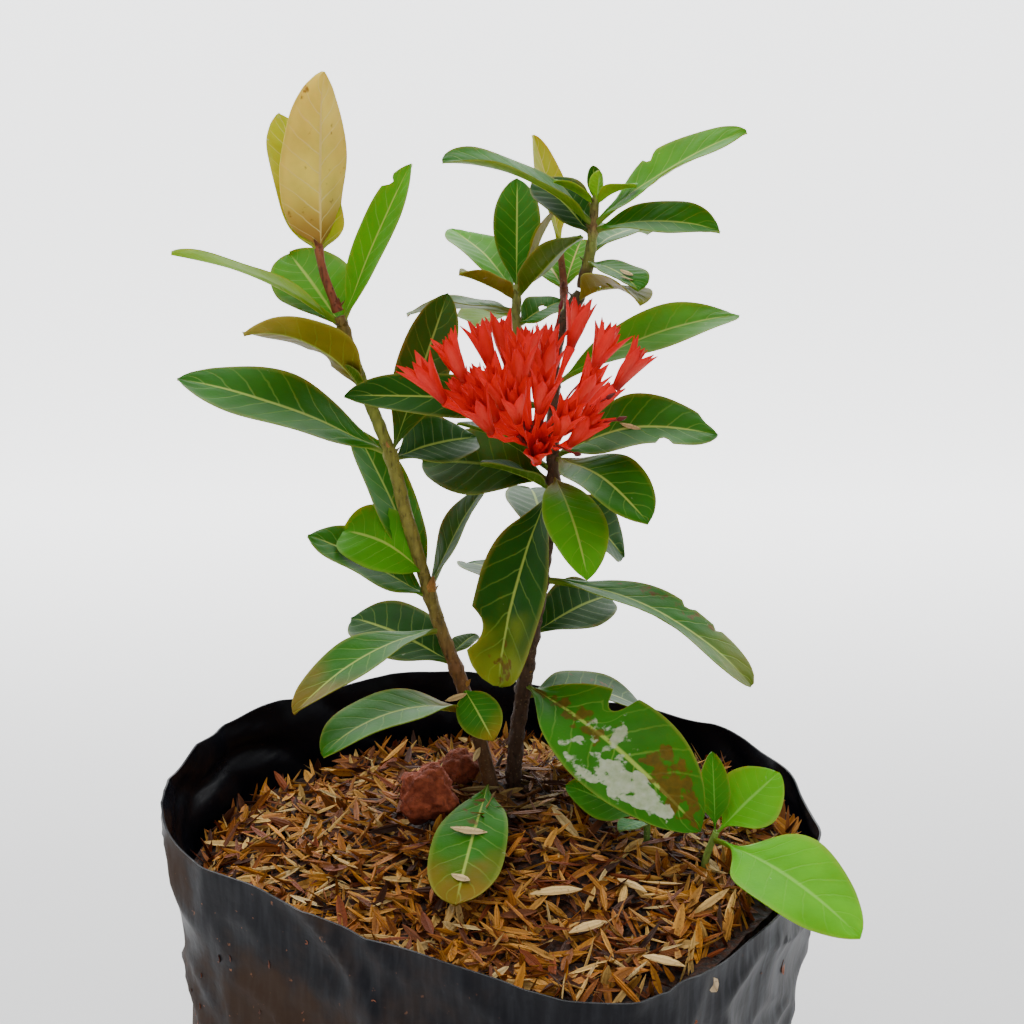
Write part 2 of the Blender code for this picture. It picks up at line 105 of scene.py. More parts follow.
# --- camera and light ---
view = {"place": (0.004, -0.300, 0.265), "tilt": 77, "lens": 50, "lookedAt": (0, 0, 0.16)}
# Lamps: name, place, size and power. The sky is pale all round.
light = {
    "lamps": (
        ("topLight", (-0.25, -0.15, 1.15), 1.0, 9.0),
        ("frontLight", (0.3, -1.1, 0.75), 0.9, 2.2),
        ("backLight", (0.1, 0.9, 0.8), 0.8, 3.0),
    ),
    "sky": 0.55, "skyColour": (1.0, 0.99, 0.96, 1.0), "backdrop": 2.0,
}


def addCamera():
    data = bpy.data.cameras.new("camera")
    data.lens = view["lens"]
    camera = addObject("camera", data)
    camera.location = view["place"]
    camera.rotation_euler = (math.radians(view["tilt"]), 0, 0)
    bpy.context.scene.camera = camera


def addLamp(name, place, size, power):
    data = bpy.data.lights.new(name, "AREA")
    data.shape = "DISK"
    data.size = size
    data.energy = power
    lamp = addObject(name, data)
    lamp.location = place
    towards = Vector(view["lookedAt"]) - Vector(place)
    lamp.rotation_euler = towards.to_track_quat("-Z", "Y").to_euler()


addCamera()
for lampRow in light["lamps"]:
    addLamp(*lampRow)
world = bpy.data.worlds.new("sky")
world.use_nodes = True
sky = world.node_tree.nodes["Background"]
sky.inputs["Color"].default_value = light["skyColour"]
sky.inputs["Strength"].default_value = light["sky"]
bpy.context.scene.world = world


# --- finishes ---
# A wire is one socket of a finish. Sums and products on it add their Math nodes.
class Wire:
    def __init__(self, finish, socket):
        self.finish = finish
        self.socket = socket

    def maths(self, operation, *values):
        return self.finish.add("ShaderNodeMath", {"operation": operation}, *values)

    def __add__(self, other):
        return self.maths("ADD", self, other)

    def __sub__(self, other):
        return self.maths("SUBTRACT", self, other)

    def __rsub__(self, other):
        return self.maths("SUBTRACT", other, self)

    def __mul__(self, other):
        return self.maths("MULTIPLY", self, other)

    def __abs__(self):
        return self.maths("ABSOLUTE", self)

    def part(self):
        return self.maths("FRACT", self)

    def rising(self, low, high):
        return self.finish.add("ShaderNodeMapRange", {"interpolation_type": "SMOOTHSTEP"}, self, low, high)

    __radd__ = __add__
    __rmul__ = __mul__


# A finish is one Principled material. Numbers that are the same all over are set on its sockets.
class Finish:
    def __init__(self, name, **fixed):
        self.material = bpy.data.materials.new(name)
        self.material.use_nodes = True
        self.tree = self.material.node_tree
        self.shader = self.tree.nodes["Principled BSDF"]
        for socket, value in fixed.items():
            self.shader.inputs[socket.replace("_", " ")].default_value = value

    def join(self, socket, value):
        if isinstance(value, Wire):
            self.tree.links.new(value.socket, socket)
        elif hasattr(value, "__len__") and len(value) == 3 and socket.type == "RGBA":
            socket.default_value = (*value, 1.0)
        else:
            socket.default_value = value

    def add(self, kind, settings, *values, out=0, **named):
        node = self.tree.nodes.new(kind)
        for name, value in settings.items():
            setattr(node, name, value)
        for index, value in enumerate(values):
            self.join(node.inputs[index], value)
        for name, value in named.items():
            self.join(node.inputs[name], value)
        return Wire(self, node.outputs[out])

    def place(self):
        return self.add("ShaderNodeTexCoord", {}, out=3)

    def number(self, name):
        return self.add("ShaderNodeAttribute", {"attribute_name": name}, out=2)

    def tint(self):
        return self.add("ShaderNodeAttribute", {"attribute_name": "tint"})

    def noise(self, scale, detail=3.0, stretch=None):
        where = self.place()
        if stretch:
            where = self.add("ShaderNodeVectorMath", {"operation": "MULTIPLY"}, where, stretch)
        return self.add("ShaderNodeTexNoise", {}, Vector=where, Scale=scale, Detail=detail)

    def cells(self, scale):
        return self.add("ShaderNodeTexVoronoi", {}, Vector=self.place(), Scale=scale)

    # Mix node inputs: the factor is 0, the two colours are 6 and 7, and the colour comes out of 2.
    def blend(self, share, first, second, mode="MIX"):
        node = self.tree.nodes.new("ShaderNodeMix")
        node.data_type = "RGBA"
        node.blend_type = mode
        self.join(node.inputs[0], share)
        self.join(node.inputs[6], first)
        self.join(node.inputs[7], second)
        return Wire(self, node.outputs[2])

    def wear(self, **sockets):
        for socket, value in sockets.items():
            self.join(self.shader.inputs[socket.replace("_", " ")], value)
        return self.material

    # The depth of the bumps is in metres.
    def dress(self, colour, rough, height, strength, depth):
        bump = self.add("ShaderNodeBump", {}, Height=height, Strength=strength, Distance=depth)
        return self.wear(Base_Color=colour, Roughness=rough, Normal=bump)


leafSkin = {"pairs": 9.0, "sweep": 1.5, "gloss": 0.4, "mottle": 0.35, "bump": 0.7}


# Leaf skin: its tint, a pale midrib, fine lateral veins, mottling, brown stains, and pale patches that paint
# a greyish sheen.
def leafFinish(name, veinColour, ribColour, glow):
    leaf = Finish(name, Subsurface_Weight=glow, Subsurface_Scale=0.002, Specular_IOR_Level=0.1)
    along = leaf.number("along")
    across = leaf.number("across")
    beside = abs(across)
    side = across.rising(-0.01, 0.01)
    wobble = leaf.noise(260, 2.0)
    step = along * leafSkin["pairs"] - beside * leafSkin["sweep"] + side * 0.5 + wobble * 0.35
    vein = abs(step.part() - 0.5).rising(0.43, 0.485) * (1 - beside * 0.75) * (1 - along * 0.35)
    rib = 1 - beside.rising(0.015, 0.06)
    rib = rib * (1 - along.rising(0.82, 1.0))
    mottle = leaf.noise(130, 4.0).rising(0.3, 0.75)
    colour = leaf.blend(mottle * leafSkin["mottle"], leaf.tint(), (0.35, 0.42, 0.3), "MULTIPLY")
    colour = leaf.blend(vein * leaf.number("veins"), colour, veinColour)
    colour = leaf.blend(rib * leaf.number("ribs"), colour, ribColour)
    patchy = leaf.noise(420, 5.0)
    brown = (leaf.number("stain") + (patchy - 0.5) * 2.0).rising(0.5, 0.72)
    dark = leaf.blend(leaf.noise(700, 3.0), paint(52, 32, 4), paint(118, 74, 14))
    colour = leaf.blend(brown * 0.78, colour, dark)
    # Pale, rougher patches where the leaf's pale mark says: a painted greyish sheen on the leaf.
    dustAndSheen = (leaf.number("bloom") + (leaf.noise(330, 5.0) - 0.5) * 2.4).rising(0.5, 0.72)
    pale = leaf.blend(leaf.noise(700, 4.0), paint(128, 146, 96), paint(206, 208, 190))
    colour = leaf.blend(dustAndSheen * 0.8, colour, pale)
    rough = leafSkin["gloss"] + leaf.noise(200, 3.0) * 0.18 + dustAndSheen * 0.3
    height = leaf.noise(1500, 2.0) * 0.25 - vein * 0.5 + dustAndSheen * 0.3
    return leaf.dress(colour, rough, height, leafSkin["bump"], 0.00025)


# Bark: its tint, with streaks along the stem, dark cracks and pale pores.
def barkFinish(name):
    bark = Finish(name, Specular_IOR_Level=0.3)
    streak = bark.noise(900, 5.0, (1.0, 1.0, 0.18))
    crack = bark.noise(1500, 4.0, (1.0, 1.0, 0.3)).rising(0.55, 0.72)
    pore = 1 - bark.cells(1100).rising(0.1, 0.3)
    colour = bark.blend(streak.rising(0.3, 0.7) * 0.6, bark.tint(), (0.45, 0.4, 0.36), "MULTIPLY")
    colour = bark.blend(crack * bark.number("stain"), colour, paint(38, 26, 18))
    colour = bark.blend(pore * 0.16, colour, paint(176, 152, 110))
    height = streak + crack * -0.8 + pore * 0.3
    return bark.dress(colour, 0.5 + streak * 0.3, height, 0.7, 0.0005)


def petalFinish():
    petal = Finish("petal_red", Subsurface_Weight=0.25, Subsurface_Scale=0.0015, Specular_IOR_Level=0.3)
    streak = petal.noise(1400, 3.0)
    colour = petal.blend(streak * 0.35, petal.tint(), (0.7, 0.2, 0.2), "MULTIPLY")
    vein = abs((petal.number("across") * 3.0 + streak * 0.3).part() - 0.5).rising(0.4, 0.49)
    colour = petal.blend(vein * 0.18, colour, paint(170, 12, 14))
    height = vein * -0.6 + petal.noise(2600, 2.0) * 0.4
    return petal.dress(colour, 0.42 + streak * 0.2, height, 0.5, 0.0002)


def huskFinish(name):
    husk = Finish(name, Specular_IOR_Level=0.35)
    rib = abs((husk.number("across") * 4.0).part() - 0.5).rising(0.1, 0.45)
    fleck = husk.noise(1700, 4.0)
    colour = husk.blend(rib * 0.4, husk.tint(), (0.5, 0.42, 0.34), "MULTIPLY")
    colour = husk.blend(fleck.rising(0.55, 0.72) * 0.55, colour, paint(70, 38, 16))
    height = rib * -0.8 + fleck
    return husk.dress(colour, 0.45 + fleck * 0.35, height, 0.6, 0.0003)


# The bed under the husks: dark damp mulch, near black so that it also paints the shade in the gaps between
# husks.
def bedFinish():
    bed = Finish("damp_and_shaded_mulch", Specular_IOR_Level=0.4)
    crumb = bed.cells(420)
    grain = bed.noise(700, 6.0)
    colour = bed.blend(grain.rising(0.35, 0.7), paint(22, 11, 6), paint(76, 38, 14))
    colour = bed.blend(crumb.rising(0.3, 0.8) * 0.5, colour, paint(20, 11, 7))
    return bed.dress(colour, 0.45 + grain * 0.4, grain + crumb, 0.9, 0.0012)


def soilFinish():
    soil = Finish("potting_soil", Specular_IOR_Level=0.2)
    grain = soil.noise(350, 7.0)
    crumb = soil.cells(260)
    colour = soil.blend(grain.rising(0.3, 0.7), paint(36, 26, 18), paint(86, 64, 44))
    return soil.dress(colour, 0.8 + grain * 0.15, grain + crumb, 0.9, 0.002)


def clayFinish():
    clay = Finish("burnt_clay", Specular_IOR_Level=0.25)
    grain = clay.noise(600, 7.0)
    crumb = clay.noise(260, 6.0)
    colour = clay.blend(grain.rising(0.3, 0.7), paint(112, 48, 28), paint(162, 80, 52))
    colour = clay.blend(crumb.rising(0.55, 0.75) * 0.6, colour, paint(92, 34, 16))
    # Darker where the stain mark says: towards the underside, and for damp and painted shade near the stems.
    colour = clay.blend(clay.number("stain"), colour, paint(58, 30, 18))
    return clay.dress(colour, 0.75 + grain * 0.2, grain + crumb, 1.0, 0.0012)


# Film: black and half glossy, dusty brown where its stain mark says, and streaked pale grey where its pale
# mark says: scuff streaks and a painted sheen.
def filmFinish():
    film = Finish("black_film", Specular_IOR_Level=0.13)
    cloud = film.noise(38, 5.0)
    scuff = film.noise(520, 5.0, (1.0, 1.0, 0.12))
    speck = film.noise(420, 4.0).rising(0.68, 0.74)
    dustAndSheen = (film.number("stain") * cloud.rising(0.25, 0.6) + (film.noise(240, 5.0) - 0.5) * 0.5)
    dustAndSheen = dustAndSheen.rising(0.2, 0.8)
    # Pale grey streaks: scuffs, and a painted sheen over the film.
    scuffAndSheen = film.number("bloom") * scuff.rising(0.35, 0.8)
    colour = film.blend(scuffAndSheen * 0.4, paint(9, 10, 17), paint(140, 144, 152))
    colour = film.blend(dustAndSheen * 0.42, colour, paint(82, 60, 42))
    colour = film.blend(speck * film.number("stain") * 0.7, colour, paint(150, 96, 62))
    rough = 0.32 + cloud * 0.16 + dustAndSheen * 0.35 + scuffAndSheen * 0.12 - film.number("inner") * 0.12
    height = film.noise(90, 4.0) + scuff * 0.1 + dustAndSheen * 0.2
    return film.dress(colour, rough, height, 0.35, 0.0012)


finishes = {
    "leaf": leafFinish("leaf_green", paint(140, 176, 70), paint(172, 192, 84), 0.12),
    "young": leafFinish("leaf_young", paint(226, 210, 132), paint(222, 200, 124), 0.2),
    "weed": leafFinish("weed_green", paint(150, 210, 84), paint(160, 216, 92), 0.2),
    "bark": barkFinish("stem_bark"),
    "petal": petalFinish(),
    "husk": huskFinish("rice_husk"),
    "bed": bedFinish(),
    "soil": soilFinish(),
    "clay": clayFinish(),
    "film": filmFinish(),
}
print("made the finishes")


# --- mesh making ---
# A shape gathers points with what the finishes read from them, and faces with their finish.
class Shape:
    marks = ("along", "across", "stain", "bloom", "veins", "ribs", "inner")

    def __init__(self, *finishNames):
        self.finishNames = finishNames
        self.points = []
        self.tints = []
        self.values = {mark: [] for mark in self.marks}
        self.faces = []
        self.slots = []

    def point(self, place, tint=(0, 0, 0), **marks):
        self.points.append(tuple(place))
        self.tints.append(tint)
        for mark in self.marks:
            self.values[mark].append(marks.get(mark, 0.0))
        return len(self.points) - 1

    def face(self, corners, finishName):
        kept = [corner for index, corner in enumerate(corners) if corner != corners[index - 1]]
        if len(kept) > 2:
            self.faces.append(kept)
            self.slots.append(self.finishNames.index(finishName))

    # Two sheets on one grid, the first outside, closed along the edges and round what isn't kept.
    def slab(self, outer, inner, finishName, kept=lambda row, column: True):
        rows = len(outer) - 1
        columns = len(outer[0]) - 1

        def stays(row, column):
            return 0 <= row < rows and 0 <= column < columns and kept(row, column)

        for row in range(rows):
            for column in range(columns):
                if not stays(row, column):
                    continue
                corners = ((row, column), (row + 1, column), (row + 1, column + 1), (row, column + 1))
                outside = [outer[i][j] for i, j in corners]
                inside = [inner[i][j] for i, j in corners]
                self.face(outside, finishName)
                self.face(inside[::-1], finishName)
                besides = ((row, column - 1), (row + 1, column), (row, column + 1), (row - 1, column))
                for index, beside in enumerate(besides):
                    if not stays(*beside):
                        after = (index + 1) % 4
                        wall = (outside[after], outside[index], inside[index], inside[after])
                        self.face(wall, finishName)

    # Rings with the same number of points, joined into one closed skin.
    def skin(self, rings, finishName):
        count = len(rings[0])
        self.face(rings[0][::-1], finishName)
        for near, far in zip(rings, rings[1:]):
            for column in range(count):
                after = (column + 1) % count
                self.face((near[column], near[after], far[after], far[column]), finishName)
        self.face(rings[-1], finishName)

    def make(self, name, slot, *nodes, sharp=60):
        mesh = bpy.data.meshes.new(name)
        mesh.from_pydata(self.points, [], self.faces)
        mesh.polygons.foreach_set("material_index", self.slots)
        tint = mesh.attributes.new("tint", "FLOAT_COLOR", "POINT")
        tint.data.foreach_set("color", [value for row in self.tints for value in (*row, 1.0)])
        for mark in self.marks:
            if any(self.values[mark]):
                store = mesh.attributes.new(mark, "FLOAT", "POINT")
                store.data.foreach_set("value", self.values[mark])
        for finishName in self.finishNames:
            mesh.materials.append(finishes[finishName])
        mesh.update()
        mesh.shade_smooth()
        mesh.set_sharp_from_angle(angle=math.radians(sharp))
        piece = addObject(name, mesh)
        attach(piece, "root")
        if nodes:
            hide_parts(*nodes)
        print("made", name, len(self.faces), "faces")


def turned(heading, rise, roll):
    yaw = Matrix.Rotation(math.radians(heading), 3, "Z")
    pitch = Matrix.Rotation(-math.radians(rise), 3, "Y")
    spin = Matrix.Rotation(math.radians(roll), 3, "X")
    return yaw @ pitch @ spin


# Directions evenly round a path at one of its points, square to it.
def waysOut(path, index, hint, sides):
    along = (path[min(index + 1, len(path) - 1)] - path[max(index - 1, 0)]).normalized()
    side = along.cross(Vector(hint)).normalized()
    beside = along.cross(side)
    angles = [math.tau * corner / sides for corner in range(sides)]
    return [side * math.cos(angle) + beside * math.sin(angle) for angle in angles]


# The middle of a stem at a height in millimetres. Its rows are (x, y, z, radius).
def stemAt(stem, height):
    for start, end in zip(stem, stem[1:]):
        if start[2] <= height <= end[2]:
            share = (height - start[2]) / (end[2] - start[2])
            return Vector(start[:3]).lerp(Vector(end[:3]), share) * mm
    return Vector(stem[-1][:3]) * mm


huskForm = {
    # sideways and up, round the shell and back through its hollow
    "section": ((-1.0, 0.3), (-0.62, -0.55), (0.0, -0.8), (0.62, -0.55), (1.0, 0.3), (0.0, -0.12)),
    # share of the length, width and rise
    "lengthwise": (
        (0.03, 0.1, 0.5), (0.2, 0.62, 0.12), (0.45, 1.0, 0.0), (0.75, 0.8, 0.1), (0.97, 0.12, 0.45),
    ),
    "depth": 0.42, "hollowShade": 0.72,
}


# A split husk: a pointed boat with ribs outside and a shallow hollow inside.
def addHusk(shape, place, turn, length, width, tint):
    section = huskForm["section"]
    hollow = len(section) - 1
    rings = []
    for share, wide, rise in huskForm["lengthwise"]:
        ring = []
        for index, (sideways, height) in enumerate(section):
            up = (height * wide * huskForm["depth"] + rise * 0.5) * width / 2
            spot = Vector(((share - 0.5) * length, sideways * wide * width / 2, up))
            shade = huskForm["hollowShade"] if index == hollow else 1.0
            colour = tuple(value * shade for value in tint)
            ring.append(shape.point((place + turn @ spot) * mm, colour, along=share, across=index / hollow))
        rings.append(ring)
    shape.skin(rings, "husk")


# --- leaves ---
# Millimetres and degrees: where it starts, its heading (270 is the front), its rise, droop, roll, length,
# width and fold, and then its look and what sets it apart.
def leaf(height, heading, rise, droop, roll, length, width, fold, look="green", **extras):
    return dict(
        height=height, heading=heading, rise=rise, droop=droop, roll=roll, length=length, width=width,
        fold=fold, look=look, **extras
    )


# Top, underside, how strongly the veins and the midrib show.
looks = {
    "green": (paint(40, 106, 0), paint(100, 138, 20), 0.45, 0.75),
    "fresh": (paint(72, 144, 0), paint(124, 172, 20), 0.42, 0.75),
    "dark": (paint(24, 74, 0), paint(76, 106, 22), 0.38, 0.65),
    "grey": (paint(46, 84, 14), paint(96, 118, 58), 0.28, 0.5),
    "olive": (paint(104, 108, 6), paint(124, 116, 20), 0.3, 0.7),
    "young": (paint(214, 198, 54), paint(228, 206, 84), 0.8, 0.7),
    "lime": (paint(160, 170, 4), paint(182, 184, 26), 0.5, 0.6),
    "weed": (paint(84, 166, 0), paint(120, 186, 8), 0.2, 0.45),
    "weedDark": (paint(52, 130, 2), paint(92, 150, 20), 0.25, 0.4),
    "weedBlue": (paint(64, 122, 66), paint(104, 146, 96), 0.2, 0.3),
}
ixoraOutline = (
    (0.0, 0.05), (0.07, 0.07), (0.16, 0.3), (0.3, 0.72), (0.45, 0.95), (0.57, 1.0), (0.72, 0.92),
    (0.86, 0.66), (0.95, 0.33), (0.985, 0.12), (1.0, 0.0),
)
broadOutline = (
    (0.0, 0.1), (0.03, 0.16), (0.09, 0.6), (0.17, 0.85), (0.36, 0.98), (0.55, 1.0), (0.75, 0.82), (0.9, 0.46),
    (0.965, 0.2), (0.985, 0.1), (1.0, 0.0),
)
bluntOutline = (
    (0.0, 0.05), (0.07, 0.07), (0.15, 0.3), (0.28, 0.68), (0.45, 0.92), (0.62, 1.0), (0.8, 0.94),
    (0.92, 0.68), (0.98, 0.36), (1.0, 0.1),
)
weedOutline = (
    (0.0, 0.05), (0.14, 0.07), (0.22, 0.3), (0.34, 0.8), (0.48, 1.0), (0.62, 0.97), (0.78, 0.76),
    (0.9, 0.46), (0.97, 0.2), (1.0, 0.0),
)
leafForm = {
    "rows": 44, "columns": 14,
    # thickness of the blade, its edge, its midrib and its stalk, in millimetres
    "blade": 0.42, "edge": 0.22, "rib": 0.5, "stalk": 1.25,
    # height of the ripples, the quilting between the veins and the groove over the midrib
    "wave": 0.5, "quilt": 0.16, "groove": 0.12, "pairs": 9,
    "stalkColour": paint(134, 142, 70), "edgeColour": paint(160, 168, 72), "huskColour": paint(226, 196, 138),
}


# Bites are (side, place, half length, depth) in shares, and leave an edge of their own.
def biteShare(bites, side, share):
    kept = 1.0
    for where, place, reach, depth in bites:
        if where * side > 0 and abs(share - place) < reach:
            kept -= depth * (1 - ((share - place) / reach) ** 2) ** 0.6
    return max(kept, 0.05)


# Patches are (place, side place, reach, side reach, strength) in shares of the leaf.
def patchAmount(patches, share, across, where):
    amount = 0.0
    for place, sidePlace, reach, sideReach, strength in patches:
        far = math.hypot((share - place) / reach, (across - sidePlace) / sideReach)
        far += 0.35 * noise.noise(where * 420)
        amount = max(amount, strength * smooth(1.25, 0.7, far))
    return amount


# The midrib at a share of the leaf's length, and the way that the blade faces there.
def leafMiddle(row, share):
    length = row["length"] * mm
    droop = math.radians(max(row["droop"], 1))
    bend = droop * share
    sway = row.get("sway", 0) * length * share * share
    middle = Vector((length * math.sin(bend) / droop, sway, -length * (1 - math.cos(bend)) / droop))
    return middle, Vector((math.sin(bend), 0, math.cos(bend)))


# How far the blade stands off its midrib: the fold, the ripples from their phase, quilting and a groove.
def leafLift(row, share, across, reach, half, phase):
    form = leafForm
    size = row["width"] / 16
    beside = abs(across)
    blade = 1 - smooth(0.2, 0.06, share)
    lift = abs(reach) * math.sin(math.radians(row["fold"])) * beside ** 0.3
    ripple = math.sin(math.tau * (1.7 * share + phase) + (1.2 if across > 0 else 0))
    lift += form["wave"] * mm * size * ripple * beside ** 2 * blade
    lift += 0.35 * mm * noise.noise(Vector((share * 3, across * 1.5, phase * 40))) * size
    quilt = math.cos(math.tau * (share * form["pairs"] - beside * 1.5 + (0.5 if across > 0 else 0)))
    lift -= form["quilt"] * mm * quilt * beside * (1 - beside) * 2.2 * blade
    return lift - form["groove"] * mm * math.exp(-(across * half / (0.35 * mm)) ** 2) * blade


# The colour of the upper (0) or the under side (1) at a place on a leaf.
def leafColour(row, level, shade, share, beside, where):
    drift = noise.noise(where * 90) * 0.18
    tint = tuple(value * (shade + drift) for value in looks[row["look"]][level])
    if "base" in row:
        tint = mixed(tint, row["base"], smooth(0.4, 0.05, share))
    else:
        tint = mixed(tint, leafForm["stalkColour"], smooth(0.14, 0.03, share) * 0.6)
    if "tip" in row:
        tint = mixed(tint, row["tip"], smooth(0.6, 0.95, share + noise.noise(where * 200) * 0.15))
    return mixed(tint, leafForm["edgeColour"], smooth(0.94, 1.0, beside) * 0.3)


# Husks that lie on a leaf: (place, side place, angle, length, width).
def addCaughtHusks(shape, row, sheet):
    rows = len(sheet) - 1
    columns = len(sheet[0]) - 1
    for share, across, angle, length, width in row.get("husks", ()):
        line = round(share * rows)
        column = round((across + 1) / 2 * columns)
        spots = ((line, column), (line + 1, column), (line, min(column + 1, columns)))
        here, ahead, beside = [Vector(shape.points[sheet[i][j]]) for i, j in spots]
        forward = (ahead - here).normalized()
        face = forward.cross(beside - here).normalized()
        lay = Matrix((forward, face.cross(forward), face)).transposed()
        lay = lay @ Matrix.Rotation(math.radians(angle), 3, "Z")
        addHusk(shape, here / mm + face * width * 0.3, lay, length, width, leafForm["huskColour"])


# One leaf: an upper and an under sheet on the same grid, with its holes left out.
def addLeaf(shape, stem, row, finishName, draw, outline):
    form = leafForm
    rows = form["rows"] * row.get("fine", 1)
    columns = form["columns"] * row.get("fine", 1)
    turn = turned(row["heading"], row["rise"], row["roll"])
    origin = stemAt(stem, row["height"])
    veins, ribs = looks[row["look"]][2:]
    shade = draw.uniform(0.88, 1.12)
    phase = draw.uniform(0, 1)
    outline = row.get("outline", outline)
    flat = math.cos(math.radians(row["fold"]))
    sheets = ([], [])
    for line in range(rows + 1):
        share = line / rows
        middle, rise = leafMiddle(row, share)
        half = max(row["width"] / 2 * mm * follow(outline, share), 0.03 * mm)
        stalk = smooth(0.2, 0.06, share)
        for sheet in sheets:
            sheet.append([])
        for column in range(columns + 1):
            across = column / columns * 2 - 1
            reach = half * across * biteShare(row.get("bites", ()), across, share)
            lift = leafLift(row, share, across, reach, half, phase)
            blade = (form["blade"] + (form["edge"] - form["blade"]) * abs(across) ** 3) * mm
            rib = form["rib"] * mm * (1 - 0.8 * share) * math.exp(-(across * half / (0.4 * mm)) ** 2)
            stalkThick = form["stalk"] * mm * math.sqrt(max(1 - across * across, 0.03))
            thick = blade + (stalkThick - blade) * stalk
            place = middle + Vector((0, reach * flat, 0)) + rise * lift
            for level, drop in enumerate((thick / 2, -thick / 2 - rib * (1 - stalk))):
                where = origin + turn @ (place + rise * drop)
                sheets[level][-1].append(shape.point(
                    where, leafColour(row, level, shade, share, abs(across), where), along=share,
                    across=across, veins=veins, ribs=ribs,
                    stain=patchAmount(row.get("brown", ()), share, across, where),
                    bloom=patchAmount(row.get("pale", ()), share, across, where)
                ))
    addCaughtHusks(shape, row, sheets[0])

    def kept(line, column):
        along = (line + 0.5) / rows * row["length"]
        sideways = ((column + 0.5) / columns * 2 - 1) * row["width"] / 2
        return all(
            math.hypot(along - share * row["length"], sideways - across * row["width"] / 2) > radius
            for share, across, radius in row.get("holes", ())
        )

    shape.slab(*sheets, finishName, kept)


# --- stems ---
# A stem's rows on a smooth curve, about a step apart. Each has its radius too.
def finePath(stem, step):
    rows = [Vector(row) for row in stem]
    path = []
    for index in range(len(rows) - 1):
        before = rows[max(index - 1, 0)]
        start = rows[index]
        end = rows[index + 1]
        after = rows[min(index + 2, len(rows) - 1)]
        count = max(2, round((end.to_3d() - start.to_3d()).length / step))
        path += [between(before, start, end, after, part / count) for part in range(count)]
    path.append(rows[-1])
    return path


barkForm = {
    "step": 0.7, "sides": 14, "swell": 0.2, "neck": 0.06,
    "scaleTip": paint(60, 40, 24), "bud": paint(190, 132, 60),
}


# Bark round a stem: swollen at its nodes, rough by the "rough" share, coloured along its height.
def addStem(shape, stem, nodes, colours, rough, crack):
    path = finePath(stem, barkForm["step"])
    spine = [row.to_3d() for row in path]
    rings = []
    for index, row in enumerate(path):
        radius = row[3]
        for node in nodes:
            radius *= 1 + barkForm["swell"] * math.exp(-((row[2] - node) / 1.3) ** 2)
            radius *= 1 - barkForm["neck"] * math.exp(-((row[2] - node - 2.4) / 0.7) ** 2)
        colour = colourAt(colours, row[2])
        ring = []
        for out in waysOut(spine, index, (0, 1, 0), barkForm["sides"]):
            place = spine[index] + out * radius
            bump = noise.noise(Vector((place.x * 1.1, place.y * 1.1, place.z * 0.45))) * rough * 1.5
            bump += noise.noise(place * 2.2) * rough
            where = (spine[index] + out * radius * (1 + bump)) * mm
            tint = tuple(value * (1 + 0.35 * noise.noise(place * 0.9)) for value in colour)
            ring.append(shape.point(where, tint, along=row[2], stain=crack))
        rings.append(ring)
    shape.skin(rings, "bark")


# A small pointed scale, bud or thorn on a stem: it stands at the place and points along the turn.
def addScale(shape, place, turn, length, width, thick, colour, finishName="bark"):
    rings = []
    for share, wide in ((0.0, 0.75), (0.25, 1.0), (0.55, 0.8), (0.82, 0.42), (1.0, 0.06)):
        ring = []
        for corner in range(6):
            angle = math.tau * corner / 6
            sideways = width / 2 * wide * math.cos(angle)
            spot = Vector((length * share, sideways, thick / 2 * wide * math.sin(angle)))
            tint = mixed(colour, barkForm["scaleTip"], 0.5 * share)
            ring.append(shape.point(place + turn @ (spot * mm), tint, along=share, stain=0.3))
        rings.append(ring)
    shape.skin(rings, finishName)


